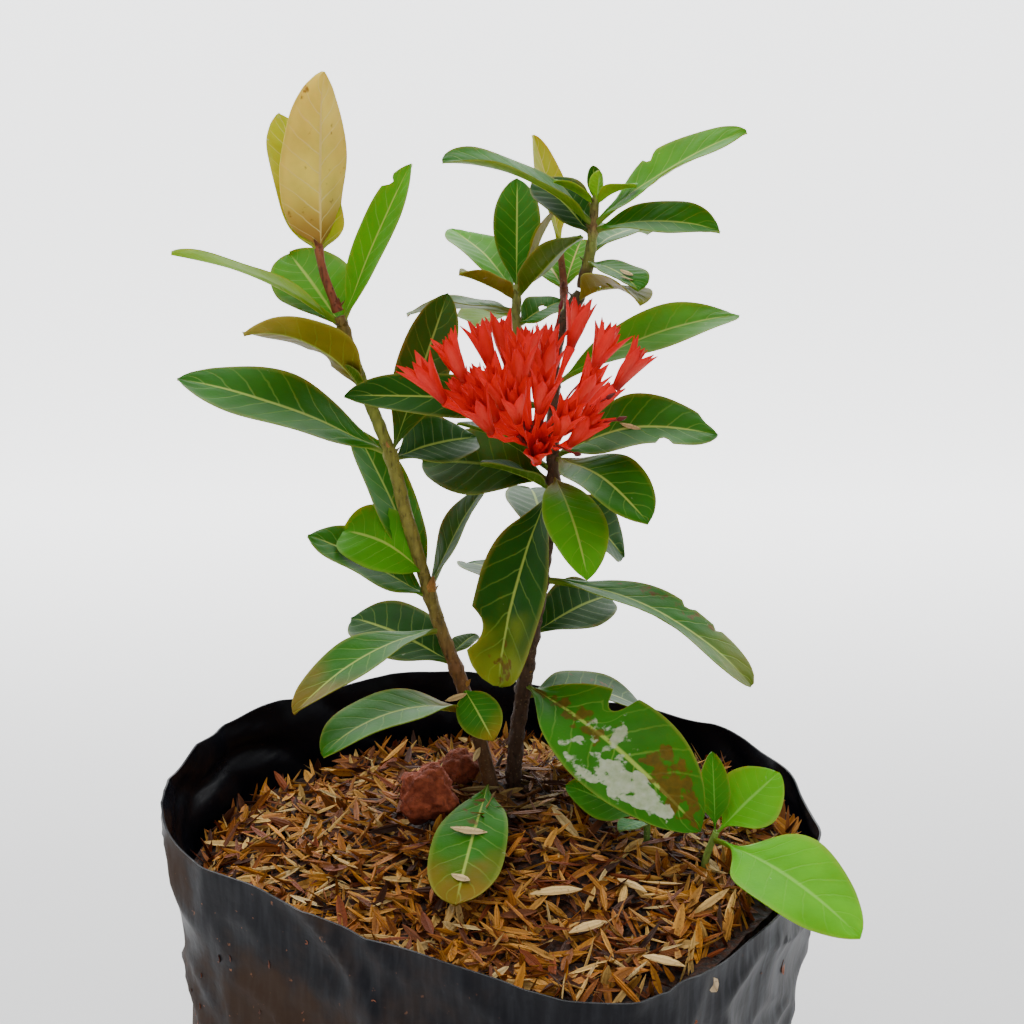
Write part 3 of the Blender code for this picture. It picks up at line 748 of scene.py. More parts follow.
# Each part has its stem's (x, y, z, radius), its bark's (height, red, green, blue), the heights of its nodes,
# buds (height, heading, rise, length, width) and leaves, and may say how rough and cracked its bark is.
leftStem = {
    "stem": (
        (0, 3, 94, 1.8), (0, 3, 122, 1.8), (-2, 4, 136, 1.7), (-7, 4, 154, 1.6), (-13, 3, 172, 1.5),
        (-19, 1, 195, 1.5), (-22, 0, 208, 1.4), (-28, -1, 225, 1.3), (-32, -2, 238, 1.2),
    ),
    "colours": (
        (94, 62, 40, 24), (138, 86, 54, 28), (160, 118, 78, 40), (172, 122, 104, 44),
        (200, 132, 126, 48), (226, 116, 126, 44), (240, 128, 96, 48),
    ),
    "nodes": (148, 159, 176, 208, 221, 235),
    "buds": ((176.5, 292, 62, 5.5, 2.6), (154, 320, 50, 3.5, 1.8), (208.5, 250, 60, 3.5, 1.6)),
    "leaves": (
        leaf(235, 133, 42, 18, -30, 27, 17, 10, "fresh"),
        leaf(236, 185, 40, 32, 8, 38, 15, 10, "fresh"),
        leaf(236, 22, 69, 12, 30, 37, 10, 14, "fresh", bites=((1, 0.86, 0.03, 0.5),)),
        leaf(
            221, 178, 63, 80, 45, 33, 17, 10, "olive", bites=((-1, 0.35, 0.07, 0.4),),
            tip=paint(160, 146, 60),
        ),
        leaf(221, 218, 60, 10, 0, 9, 4, 10, "dark"),
        leaf(208, 190, 32, 25, -30, 48, 19, 10),
        leaf(208, 22, 68, 20, 75, 38, 12, 14, "grey"),
        leaf(207, 27, 21, 30, 30, 22, 16, 10, "dark"),
        leaf(177, 145, 64, 10, 0, 41, 15, 10),
        leaf(181, 220, 52, 85, -74, 22, 16.5, 12, "fresh", outline=bluntOutline),
        leaf(175, 188, 37, 15, -25, 31, 16, 10),
        leaf(177, 22, 67, 15, 0, 27, 12, 14, "grey"),
        leaf(162, 56, 21, 15, 0, 10, 6, 10, "grey"),
        leaf(168, 223, 7, 40, 0, 42, 15, 10, tip=paint(104, 90, 16)),
        leaf(159, 158, 30, 35, -25, 30, 18, 8, "dark"),
        leaf(154, 295, -18, 25, 20, 16, 10, 10, tip=paint(128, 112, 20)),
        leaf(148, 221, 31, 60, 0, 42, 18, 10, base=paint(120, 92, 24)),
        leaf(
            131, 262, -3, 13, 0, 44, 16, 8, tip=paint(118, 96, 14), outline=bluntOutline,
            brown=((0.3, -0.4, 0.25, 0.5, 0.4),),
            husks=((0.5, -0.1, 95, 8.5, 2.6), (0.83, 0.0, 60, 5.5, 1.8)),
        ),
    ),
}
leftTip = {
    "stem": ((-32.2, -2, 239, 1.0), (-35, -2, 247, 0.9), (-36, -2, 253, 0.8)),
    "colours": ((239, 128, 62, 40), (253, 150, 84, 54)),
    "nodes": (239.5, 252), "rough": 0.04,
    "leaves": (
        leaf(
            252, 314, 90, 10, 0, 35, 16.5, 12, "young", base=paint(160, 120, 50), outline=broadOutline,
            brown=((0.5, 0, 0.6, 1.3, 0.26),),
        ),
        leaf(251, 124, 68, 10, 0, 32, 15, 12, "lime", outline=broadOutline, sway=0.04),
    ),
}
mainStem = {
    "stem": (
        (4, 8, 94, 1.9), (4, 8, 122, 1.9), (5, 7, 140, 1.8), (8, 5, 163, 1.7), (11, 5, 182, 1.6),
        (13, 7, 200, 1.5), (13, 9, 215, 1.4), (14, 11, 232, 1.3), (19, 12, 242, 1.3),
    ),
    "colours": (
        (94, 48, 34, 26), (150, 70, 46, 32), (185, 84, 58, 38), (212, 92, 66, 42),
        (230, 64, 48, 36), (243, 84, 72, 42),
    ),
    "nodes": (153, 166, 179, 201, 206, 222, 232, 236, 240), "rough": 0.14, "crack": 0.9,
    "buds": (
        (157, 300, 25, 3.2, 0.8), (161, 200, 30, 3.0, 0.8), (190, 20, 40, 3.5, 1.4), (197, 310, 50, 4.0, 1.8),
    ),
    "leaves": (
        leaf(
            200, 226, -53, 30, 0, 46, 21, 12, "dark", bites=((-1, 0.76, 0.09, 0.4),),
            brown=((0.9, 0.1, 0.12, 0.5, 0.55), (0.15, 0.6, 0.2, 0.3, 0.35)), tip=paint(112, 128, 24),
            outline=bluntOutline,
        ),
        leaf(202, 284, -11, 40, 0, 32, 13.5, 12, "fresh", base=paint(128, 100, 40)),
        leaf(206, 306, 5, 45, 10, 32, 17, 12, base=paint(118, 104, 52)),
        leaf(
            206, 336, 36, 60, 32, 38, 20, 12, bites=((1, 0.95, 0.05, 0.3), (-1, 0.68, 0.04, 0.3)),
            husks=((0.5, 0.05, -30, 5.5, 1.3),), brown=((0.3, 0.2, 0.2, 0.4, 0.3),),
        ),
        leaf(198, 8, -30, 30, 35, 24, 15, 12, "dark"),
        leaf(203, 196, 44, 30, 0, 25, 12, 12, "dark"),
        leaf(199, 205, 38, 30, 0, 19, 11, 12, "dark"),
        leaf(201, 173, 17, 30, -40, 31, 20, 12, "grey"),
        leaf(
            179, 338, 4, 50, 0, 53, 17, 12, tip=paint(92, 108, 30), outline=bluntOutline,
            bites=((1, 0.6, 0.02, 0.2), (1, 0.75, 0.02, 0.15)), brown=((0.6, 0.7, 0.4, 0.3, 0.45),),
        ),
        leaf(166, 34, 25, 40, 35, 27, 15, 12, "dark"),
        # The pale patches on this leaf paint a greyish sheen across it; its brown ones are stains.
        leaf(
            154, 305, 0, 50, 28, 55, 24, 12, fine=2,
            bites=((1, 0.42, 0.05, 0.45),),
            brown=((0.25, 0.0, 0.3, 0.4, 0.6), (0.8, 0.35, 0.16, 0.45, 0.75), (0.92, -0.1, 0.1, 0.3, 0.7)),
            pale=((0.5, -0.6, 0.14, 0.34, 0.65), (0.72, -0.45, 0.18, 0.4, 0.95), (0.5, 0.1, 0.16, 0.4, 0.45)),
        ),
        leaf(151, 29, 4, 45, 10, 41, 18, 12, "dark", brown=((0.5, 0.2, 0.3, 0.6, 0.35),)),
        leaf(
            240, 313, 36, 70, -20, 25, 13, 12, "olive",
            holes=((0.45, 0.3, 0.9), (0.52, -0.15, 0.8), (0.36, 0.0, 0.6)),
        ),
        leaf(222, 6, 34, 35, 28, 46, 15, 12, "fresh"),
        leaf(217, 208, 11, 12, -45, 48, 12, 10, "dark", brown=((0.5, -0.6, 0.35, 0.4, 0.5),)),
        leaf(186, 95, 30, 40, 0, 36, 15, 12, "dark"),
        leaf(172, 120, 25, 40, 0, 34, 15, 12, "dark"),
    ),
}
rightShoot = {
    "stem": ((19.3, 12.1, 242.8, 1.2), (21, 12, 251, 1.1), (21.5, 12, 256, 1.0), (22, 12, 263, 0.7)),
    "colours": (
        (242, 80, 54, 36), (246, 108, 80, 48), (248, 132, 136, 62), (253, 142, 152, 72),
        (256, 132, 100, 60), (263, 126, 138, 60),
    ),
    "nodes": (244, 246, 248, 251, 255, 261),
    "leaves": (
        leaf(261, 110, 82, 8, 0, 8, 4, 20),
        leaf(261, 290, 80, 8, 0, 7, 3.5, 20, "fresh"),
        leaf(256, 334, 42, 25, 32, 38, 16, 14, "fresh", bites=((1, 0.45, 0.03, 0.3),)),
        leaf(255, 325, 18, 40, 30, 29, 13, 14),
        leaf(
            248, 296, 4, 30, 0, 22, 10, 14, outline=bluntOutline,
            husks=((0.7, 0.2, 20, 4, 1.2), (0.82, -0.2, 70, 3.5, 1.0)),
        ),
        leaf(256, 205, 46, 50, -20, 37, 14, 14, outline=bluntOutline),
        leaf(254, 154, 48, 20, -30, 19, 13, 14, "dark"),
        leaf(261, 317, 38, 40, 0, 12, 6, 14, "fresh"),
        leaf(261, 204, 35, 20, 0, 11, 5, 14, "fresh"),
        leaf(250, 60, 25, 35, 0, 30, 14, 14),
    ),
}
middleShoot = {
    "stem": (
        (11.2, 11.5, 219, 1.2), (8, 15, 225, 1.2), (5, 19, 233, 1.1), (5, 20, 239, 1.0), (5, 21, 243, 0.7),
    ),
    "colours": ((219, 58, 40, 30), (226, 74, 52, 34), (229, 128, 142, 70), (243, 140, 152, 80)),
    "nodes": (224, 234, 240),
    "leaves": (
        leaf(240, 316, 47, 20, 0, 24, 12, 14, "dark"),
        leaf(241, 89, 72, 15, 0, 28, 11, 14),
        leaf(240, 0, 74, 15, 0, 22, 10, 14, "olive"),
        leaf(240, 212, 32, 20, 0, 16, 10, 20, "olive"),
        leaf(237, 167, 13, 30, 0, 26, 17, 10, "grey"),
        leaf(236, 111, 6, 30, 0, 29, 15, 10, "fresh"),
        leaf(234, 12, 35, 20, 20, 12, 12, 10, holes=((0.6, 0.1, 0.9),)),
        leaf(241, 125, 37, 20, 0, 30, 14, 10, "fresh"),
    ),
}
backShoot = {
    "stem": ((14, 13, 228, 1.0), (15, 22, 234, 1.0), (16, 32, 241, 0.9), (15, 34, 251, 0.7)),
    "colours": ((228, 92, 46, 32), (241, 120, 60, 40), (251, 134, 84, 52)),
    "nodes": (241, 250), "rough": 0.04,
    "leaves": (
        leaf(250, 148, 79, 10, 0, 27, 12, 14, "lime"),
        leaf(241, 108, 31, 20, 0, 20, 15, 12, "fresh"),
        leaf(241, 69, 50, 20, 0, 17, 10, 12, "fresh"),
    ),
}
seedling = {
    "stem": ((46, -15, 108, 0.8), (46, -15, 120, 0.8), (48, -17, 129, 0.7)),
    "colours": ((108, 150, 160, 90), (129, 140, 182, 80)),
    "nodes": (), "rough": 0.02, "outline": weedOutline,
    "leaves": (
        leaf(128, 21, 42, 15, 30, 20, 15, 8, "weed"),
        leaf(127, 303, 11, 40, 15, 41, 21, 8, "weed"),
        leaf(128, 96, 81, 15, 0, 18, 7, 8, "weedDark"),
    ),
}
sprout = {
    "stem": ((34, -8, 108, 0.8), (34, -8, 118, 0.8), (34, -8, 128, 0.7)),
    "colours": ((108, 140, 150, 90), (128, 110, 160, 70)),
    "nodes": (), "rough": 0.02, "outline": weedOutline,
    "leaves": (
        leaf(127, 166, 26, 20, -30, 20, 11, 8, "weedDark"),
        leaf(127, 231, 20, 20, 0, 11, 6, 8, "weedBlue"),
    ),
}


def addGrowth(name, node, slot, plant, finishName, seed):
    draw = random.Random(seed)
    shape = Shape("bark", finishName, "husk")
    bark = plant.get("rough", 0.08), plant.get("crack", 0.5)
    addStem(shape, plant["stem"], plant["nodes"], plant["colours"], *bark)
    for row in plant["leaves"]:
        addLeaf(shape, plant["stem"], row, finishName, draw, plant.get("outline", ixoraOutline))
    for height in plant["nodes"]:
        place = stemAt(plant["stem"], height)
        for _ in range(3):
            turn = turned(draw.uniform(0, 360), draw.uniform(35, 75), 0)
            colour = colourAt(plant["colours"], height)
            addScale(shape, place, turn, draw.uniform(2.2, 3.2), 1.6, 0.7, colour)
    for height, heading, rise, length, width in plant.get("buds", ()):
        turn = turned(heading, rise, 0)
        addScale(shape, stemAt(plant["stem"], height), turn, length, width, width * 0.8, barkForm["bud"])
    shape.make(name, slot, node)


addGrowth("left_stem_and_leaves", "left_leafy_stem", "leaf_green", leftStem, "leaf", 11)
addGrowth("left_tip_and_leaves", "left_young_shoot", "leaf_young", leftTip, "young", 12)
addGrowth("main_stem_and_leaves", "main_leafy_stem", "leaf_green", mainStem, "leaf", 13)
addGrowth("right_shoot_and_leaves", "right_leafy_shoot", "leaf_green", rightShoot, "leaf", 14)
addGrowth("middle_shoot_and_leaves", "middle_leafy_shoot", "leaf_green", middleShoot, "leaf", 15)
addGrowth("back_shoot_and_leaves", "back_young_shoot", "leaf_young", backShoot, "young", 16)
addGrowth("seedling_leaves", "weed_seedling", "weed_green", seedling, "weed", 17)
addGrowth("sprout_leaves", "weed_sprout", "weed_green", sprout, "weed", 18)
print("made the stems and leaves")


# --- flower head ---
flower = {
    "stalk": ((12, 6, 209, 1.2), (10, -2, 210, 1.2), (8, -9, 212, 1.3)),
    "centre": (8, -10, 212),
    # heading, rise and reach in millimetres
    "florets": (
        (196, 34, 26), (194, 49, 25), (163, 64, 23), (129, 67, 23), (180, 87, 20), (239, 46, 20),
        (232, 28, 19), (257, 36, 20), (66, 68, 21), (44, 62, 28), (22, 51, 26), (3, 39, 26),
        (319, 43, 20), (276, 40, 22), (296, 28, 17), (276, 8, 13), (328, 22, 14), (20, 30, 17),
        (178, 36, 17), (252, 65, 20), (150, 42, 17), (30, 78, 17), (120, 50, 15), (215, 44, 16),
    ),
    "styles": ((60, 66, 30), (40, 40, 24), (330, 20, 21), (300, 4, 17), (345, 34, 19)),
    # a petal's outline, and its rows and columns
    "outline": ((0.0, 0.5), (0.2, 0.78), (0.42, 1.0), (0.68, 0.78), (0.88, 0.34), (1.0, 0.02)),
    "rows": 9, "columns": 4, "petal": 11.2, "width": 3.15, "thick": 0.4, "cup": 0.55,
    # the tube's radius along it, and how far each floret turns upward
    "tube": ((0.0, 0.42), (0.3, 0.55), (0.75, 0.62), (1.0, 1.15)), "lift": 0.35,
    # whorls: petals (0 for a drawn 5 or 6), turn, shift forward, lengths, width, start, share of the
    # openness, then what is drawn for the angle, the spread and the curl, and the shade
    "whorls": (
        (0, 0.0, 0.0, (0.9, 1.08), 1.0, 0.75, 1.0, 0.12, (-4, 7), (-4, 12), 1.0),
        (5, 0.5, 0.8, (0.78, 0.92), 0.85, 0.45, 0.5, 0.15, (-4, 4), (-8, 6), 0.85),
        (3, 0.0, 1.2, (0.55, 0.7), 0.6, 0.15, 0.0, 0, (2, 8), (0, 0), 0.7),
    ),
    # the red; glow, a salmon painted highlight; and a darker red, painted shade deep in the head
    "red": paint(242, 7, 5), "glow": paint(255, 100, 80), "shadedRed": paint(150, 0, 6),
    "calyx": paint(96, 16, 20), "style": paint(120, 14, 20), "stalkColours": ((0, 96, 74, 40),),
    "branch": (paint(92, 70, 36), paint(110, 40, 24), paint(96, 14, 16), paint(120, 16, 18)),
}


def petalColour(share, across, glow, shade):
    # light: how much salmon painted highlight shows down the petal's middle
    light = glow * (1 - abs(across)) * smooth(0.05, 0.35, share) * smooth(1.0, 0.6, share)
    tint = mixed(flower["red"], flower["glow"], light * 0.62)
    # painted shade: darker red at the petal's base, deep in the head, and a darker tip
    tint = mixed(tint, flower["shadedRed"], smooth(0.35, 0.0, share) * 0.75 + smooth(0.8, 1.0, share) * 0.35)
    return tuple(value * shade for value in tint)


# One pointed, cupped petal from the throat, which opens by its spread and curls back at its tip.
def addPetal(shape, throat, turn, angle, length, width, start, spread, curl, draw, shade):
    rows = flower["rows"]
    columns = flower["columns"]
    out = Vector((0, math.cos(angle), math.sin(angle)))
    side = Vector((0, -math.sin(angle), math.cos(angle)))
    sheets = ([], [])
    place = out * start * mm
    # how strongly this petal's painted highlight shows
    glow = draw.uniform(0.1, 1.0)
    for row in range(rows + 1):
        share = row / rows
        lean = math.radians(spread * (0.55 + 0.5 * smooth(0.0, 0.5, share)) + curl * smooth(0.55, 1.0, share))
        forward = Vector((math.cos(lean), 0, 0)) + out * math.sin(lean)
        away = out * math.cos(lean) - Vector((math.sin(lean), 0, 0))
        if row:
            place = place + forward * (length / rows * mm)
        half = width / 2 * follow(flower["outline"], share)
        for sheet in sheets:
            sheet.append([])
        for column in range(columns + 1):
            across = column / columns * 2 - 1
            cup = -flower["cup"] * half * across * across
            spot = place + side * (half * across * mm) + away * (cup * mm)
            thick = flower["thick"] * mm * (1 - 0.6 * abs(across)) * (1 - 0.5 * share)
            tint = petalColour(share, across, glow, shade)
            for sheet, drop in zip(sheets, (thick / 2, -thick / 2)):
                where = throat + turn @ (spot + away * drop)
                sheet[-1].append(shape.point(where, tint, along=share, across=across))
    shape.slab(sheets[1], sheets[0], "petal")


# A slender round tube through points in millimetres, with a radius and a colour at each.
def addTube(shape, points, radii, colours, finishName, sides=8):
    rings = []
    for index, point in enumerate(points):
        ring = []
        for corner, out in enumerate(waysOut(points, index, (0.3, 0.9, 0.2), sides)):
            where = (point + out * radii[index]) * mm
            ring.append(shape.point(where, colours[index], across=corner / sides))
        rings.append(ring)
    shape.skin(rings, finishName)


# A random number in a range. A range without width draws nothing.
def drawn(draw, low, high):
    return draw.uniform(low, high) if high > low else low


# A floret: its curved tube, then an outer, an inner and a closed middle whorl of petals.
def addFloret(shape, row, draw):
    heading, rise, reach = row
    middle = Vector(flower["centre"])
    out = turned(heading, rise, 0) @ Vector((1, 0, 0))
    turn = turned(heading, rise + flower["lift"] * (90 - rise), 0)
    axis = turn @ Vector((1, 0, 0))
    throat = middle + out * reach - axis * 5.5
    foot = middle + (throat - middle).normalized() * 1.6
    shares = [step / 8 for step in range(9)]
    points = []
    for share in shares:
        straight = foot.lerp(throat, share)
        if share < 0.5:
            curved = foot + (middle + out * reach * 0.4 - foot) * share * 2
        else:
            curved = throat - axis * (1 - share) * 6
        points.append(straight.lerp(curved, 0.35 * math.sin(math.pi * share)))
    radii = [follow(flower["tube"], share) for share in shares]
    # the tube is painted darker red towards its foot, as shade deep in the head
    colours = [mixed(flower["shadedRed"], flower["red"], smooth(0.0, 0.3, share)) for share in shares]
    addTube(shape, points, radii, colours, "petal")
    spot = draw.uniform(0, math.tau)
    shade = draw.uniform(0.8, 1.08)
    outer = draw.choice((5, 5, 6))
    openness = draw.uniform(11, 21)
    for row in flower["whorls"]:
        petals, phase, shift, lengths, wide, begin, opened, jitter, spreads, curls, dim = row
        petals = petals or outer
        for index in range(petals):
            angle = spot + math.tau * (index + phase) / petals + drawn(draw, -jitter, jitter)
            addPetal(
                shape, (throat + axis * shift) * mm, turn, angle, flower["petal"] * drawn(draw, *lengths),
                flower["width"] * wide, begin, openness * opened + drawn(draw, *spreads),
                drawn(draw, *curls), draw, shade * dim
            )


def addFlowerHead():
    draw = random.Random(5)
    shape = Shape("petal", "bark")
    addStem(shape, flower["stalk"], (), flower["stalkColours"], 0.06, 0.5)
    for row in flower["florets"]:
        addFloret(shape, row, draw)
    # dark calyces and branchlets at the heart of the head
    middle = Vector(flower["centre"])
    for heading, rise, _ in flower["florets"]:
        out = turned(heading, rise, 0) @ Vector((1, 0, 0))
        foot = middle + out * 0.5
        calyx = middle + out * draw.uniform(3.4, 5.2)
        points = [foot, foot.lerp(calyx, 0.5), calyx, calyx + out]
        addTube(shape, points, [0.9, 0.62, 0.85, 0.7], flower["branch"], "bark", 6)
    # long dark styles and small dry calyces that stand out of the head
    for heading, rise, reach in flower["styles"]:
        turn = turned(heading, rise, 0)
        out = turn @ Vector((1, 0, 0))
        tip = middle + out * reach
        points = [middle + out * 3, middle + out * reach * 0.6 + Vector((0, 0, 1)), tip]
        addTube(shape, points, [0.25, 0.22, 0.2], [flower["style"]] * 3, "petal", 6)
        addScale(shape, tip * mm, turn, 2.2, 1.1, 1.1, flower["calyx"], "petal")
    shape.make("ixora_flower_head", "petal_red", "flower_head")


addFlowerHead()
print("made the flower head")


# --- grow bag ---
bag = {
    "rim": (
        (75, 0, 124), (71, 28, 125), (54, 52, 127), (19, 66, 131), (-16, 72, 134), (-42, 64, 133),
        (-62, 45, 133), (-74, 18, 133), (-75, -4, 132), (-68, -24, 128), (-38, -43, 125), (-15, -57, 124),
        (18, -71, 121), (36, -64, 121), (53, -45, 121), (69, -20, 123),
    ),
    "foot": 59, "tuck": 5, "film": 0.45, "around": 300, "levels": 84,
    # heading, height, reach in degrees, half width, depth
    "folds": (
        (150, 124, 16, 2.2, 1.7), (171, 126, 7, 2.6, 1.5), (186, 122, 9, 3.0, 1.2), (64, 121, 9, 3.0, 1.1),
        (116, 126, 8, 2.6, 1.2), (238, 108, 16, 4.5, 1.6), (268, 96, 20, 5.5, 1.8), (292, 112, 9, 3.5, 1.2),
    ),
}


# The rim as (heading, radius, height) rows, all the way round and one row further at each end.
def rimTable():
    corners = [Vector(point) for point in bag["rim"]]
    count = len(corners)
    dense = []
    for index in range(count):
        four = [corners[(index + step) % count] for step in (-1, 0, 1, 2)]
        dense += [between(*four, step / 24) for step in range(24)]
    rows = sorted((math.atan2(point.y, point.x) % math.tau, point.to_2d().length, point.z) for point in dense)
    first, last = rows[0], rows[-1]
    return [(last[0] - math.tau, *last[1:]), *rows, (first[0] + math.tau, *first[1:])]


rimRows = rimTable()


def rimAt(angle):
    angle %= math.tau
    for start, end in zip(rimRows, rimRows[1:]):
        if end[0] >= angle:
            share = (angle - start[0]) / max(end[0] - start[0], 1e-9)
            return start[1] + (end[1] - start[1]) * share, start[2] + (end[2] - start[2]) * share


# The bag's radius at a heading and a height, inside its rim and foot.
def bagRadius(angle, height):
    rimRadius, rimHeight = rimAt(angle)
    return bag["foot"] + height / rimHeight * (rimRadius - bag["foot"])


# Creases: long slanting ridges, soft dents, small ripples near the rim, and the named folds.
def crease(angle, height):
    around = spun(angle, 66, height)
    slant = around + Vector((0, 0, 0.5 * around.x))
    ridge = 1 - abs(noise.noise(Vector((slant.x, slant.y, slant.z * 1.6)) * 0.036)) * 2.6
    fold = 1 - abs(noise.noise(around * 0.06 + Vector((9, 3, 5)))) * 3.0
    dent = noise.noise(around * 0.022 + Vector((4, 4, 4)))
    ripple = noise.noise(Vector((around.x * 0.09, around.y * 0.09, height * 0.02)) + Vector((2, 7, 1)))
    depth = max(ridge, 0) ** 2 * 1.6 + max(fold, 0) ** 2 * 0.8 + dent * 2.0
    depth += ripple * 0.9 * smooth(80, 125, height)
    for heading, level, reach, half, push in bag["folds"]:
        away = (math.degrees(angle) - heading) / reach
        above = (height - level + 3.5 * away * away) / half
        depth += push * math.exp(-away * away - above * above)
    return depth


# The film's radius outside, with its creases. The solid's wall is a little further out.
def filmRadius(angle, height, pull=1.0):
    return bagRadius(angle, height) - 0.6 + (crease(angle, height) - 0.6) * pull * 0.8


def addGrowBag():
    shape = Shape("film")
    levels = [level / bag["levels"] for level in range(bag["levels"] + 1)]
    # share of the height, inset and, near the bottom, the height itself
    profile = [(0.0, -bag["tuck"], 0.0), (0.0, -1.5, 0.6), (0.0, -0.3, 2.2)]
    profile += [(share, 0.0, None) for share in levels]
    profile += [(share, -bag["film"], None) for share in reversed(levels)]
    profile += [(0.0, -1.0, 3.0), (0.0, -bag["tuck"] - 1, bag["film"])]
    rings = []
    for share, inset, fixed in profile:
        ring = []
        for column in range(bag["around"]):
            angle = math.tau * column / bag["around"]
            rimHeight = rimAt(angle)[1] + 2.0 * noise.noise(spun(angle, 1, 0) * 4)
            if fixed is None:
                height = bag["tuck"] + share * (rimHeight - bag["tuck"])
                radius = filmRadius(angle, height, smooth(0.0, 0.25, share)) + inset
            else:
                height = fixed
                radius = bagRadius(angle, height) - 0.6 + inset
            place = spun(angle, radius, height)
            outside = 1.0 if inset > -0.2 else 0.0
            left = smooth(20, -60, place.x) * smooth(30, -20, place.y)
            # Pale streaks to the right are scuffs; the faint pale haze all round the outside paints the
            # film's sheen.
            right = smooth(25, 60, place.x) * smooth(10, -25, place.y)
            ring.append(shape.point(
                place * mm, stain=outside * (0.1 + 0.8 * left), bloom=outside * (0.12 + 0.5 * right),
                inner=1 - outside
            ))
        rings.append(ring)
    shape.skin(rings, "film")
    shape.make("polythene_bag", "black_polythene", "grow_bag")


addGrowBag()
print("made the bag")


# --- mulch ---
mulch = {
    "fill": 104, "edge": 116, "mound": 13, "spread": 24, "centre": (2, 5), "slope": 0.05, "inset": 1.3,
    "husks": 2600, "loose": 1400, "length": (6.5, 10.8), "width": (1.3, 2.3), "around": 120, "rings": 36,
    # x, y and radius kept clear
    "stems": ((0, 3, 2.6), (4, 8, 2.8), (46, -15, 1.4), (34, -8, 1.4)),
    "pale": (paint(224, 194, 132), paint(206, 168, 100)),
    # the clay lumps: x, y, z, size, seed, and how much darker, for damp and painted shade
    "lumps": ((-15, -2, 131, 13, 3, 0.0), (-8, 12, 131, 9, 4, 0.45)),
    # red, green, blue and weight
    "colours": (
        (206, 146, 60, 6), (184, 114, 34, 7), (150, 84, 20, 6), (108, 54, 14, 5), (222, 178, 98, 3),
        (70, 34, 12, 5), (196, 128, 30, 4), (134, 62, 20, 4),
    ),
}


def ground(x, y):
    away = (x - mulch["centre"][0]) ** 2 + (y - mulch["centre"][1]) ** 2
    mound = mulch["mound"] * math.exp(-away / (2 * mulch["spread"] ** 2))
    return mulch["edge"] + mulch["slope"] * x + mound


# The lumpy bed under the husks: two rings down to the fill, then rings in to the middle.
def addBed():
    shape = Shape("bed")
    angles = [math.tau * column / mulch["around"] for column in range(mulch["around"])]
    inset = mulch["inset"] + 2.2
    rings = []
    for share, rise in ((0.9, 0.5), (1.0, 1.0)):
        height = mulch["fill"] + rise
        places = [spun(angle, (bagRadius(angle, height) - inset) * share, height) for angle in angles]
        rings.append([shape.point(place * mm) for place in places])
    for step in range(mulch["rings"]):
        share = max(1 - step / mulch["rings"], 0.01)
        ring = []
        for angle in angles:
            place = spun(angle, (bagRadius(angle, mulch["edge"]) - inset) * share, 0)
            lump = noise.noise(place * 0.22) * 1.3
            lump += noise.noise(Vector((place.x, place.y, 5)) * 0.6) * 0.6
            place.z = ground(place.x, place.y) - 1.2 + lump
            ring.append(shape.point(place * mm))
        rings.append(ring)
    shape.skin(rings, "bed")
    shape.make("mulch_bed", "rice_husk", "husk_mulch")


def pickColour(draw, paleShare):
    if draw.random() < paleShare:
        return mixed(*mulch["pale"], draw.random())
    colours = mulch["colours"]
    first = draw.choices([paint(*row[:3]) for row in colours], [row[3] for row in colours])[0]
    shade = draw.uniform(0.7, 1.2)
    return tuple(value * shade for value in first)


# A free place for a husk, and the room left between it and the bag.
def huskSpot(draw):
    while True:
        angle = draw.uniform(0, math.tau)
        limit = bagRadius(angle, mulch["edge"]) - mulch["inset"] - 4.2
        radius = limit * math.sqrt(draw.random())
        x, y, _ = spun(angle, radius, 0)
        if all(math.hypot(x - spot[0], y - spot[1]) > spot[2] for spot in mulch["stems"]):
            return x, y, limit - radius


# Husks lie at all headings, stand up along the bag, and are darker near the stems, where they are damp and in
# painted shade.
def addHusks(name, count, seed, lift, tilt, paleShare):
    draw = random.Random(seed)
    shape = Shape("husk")
    for _ in range(count):
        x, y, room = huskSpot(draw)
        if any(math.hypot(x - lump[0], y - lump[1]) < lump[3] / 2 - 1 for lump in mulch["lumps"]):
            continue
        length = draw.uniform(*mulch["length"])
        width = draw.uniform(*mulch["width"])
        if draw.random() < 0.4:
            width *= 0.55
        steep = draw.gauss(0, tilt)
        if room < 3:
            steep = draw.uniform(30, 70)
        z = ground(x, y) + draw.uniform(*lift)
        z += noise.noise(Vector((x, y, 0)) * 0.22) * 1.3
        heading = draw.uniform(0, 360)
        roll = draw.uniform(0, 360) if draw.random() < 0.35 else draw.gauss(0, 30)
        # darker near the stems: damp, and painted shade under the plant
        dampAndShade = 0.35 + 0.65 * smooth(6, 22, math.hypot(x - 4, y - 4))
        tint = tuple(value * dampAndShade for value in pickColour(draw, paleShare))
        addHusk(shape, Vector((x, y, z)), turned(heading, steep, roll), length, width, tint)
    shape.make(name, "rice_husk", "husk_mulch")


addBed()
addHusks("husk_layer", mulch["husks"], 31, (-0.9, 0.9), 20, 0.04)
addHusks("loose_husks", mulch["loose"], 32, (0.6, 2.4), 26, 0.07)


# Single husks that stand out: large pale ones on the mulch, two caught on the stem, and bits on the bag.
singles = {
    # x, y, heading, length, width
    "pale": ((13, -32, 3, 11.5, 3.4), (19, -43, 25, 9, 3.0), (29, -29, 140, 8, 2.4), (33, -55, 160, 9, 2.8)),
    # x, y, z, heading, length, width
    "caught": ((-8.5, 0.5, 153, 20, 5.5, 1.7), (-4, -1, 140, 75, 6, 1.4)),
    "paleColour": paint(222, 186, 120), "caughtColour": paint(214, 178, 120),
    "bits": 46, "bitSizes": (1.2, 1.6, 2.2, 4.0), "bitHeights": (70, 118),
    "bitColours": (paint(150, 84, 52), paint(120, 62, 36), paint(206, 180, 140), paint(96, 52, 34)),
}


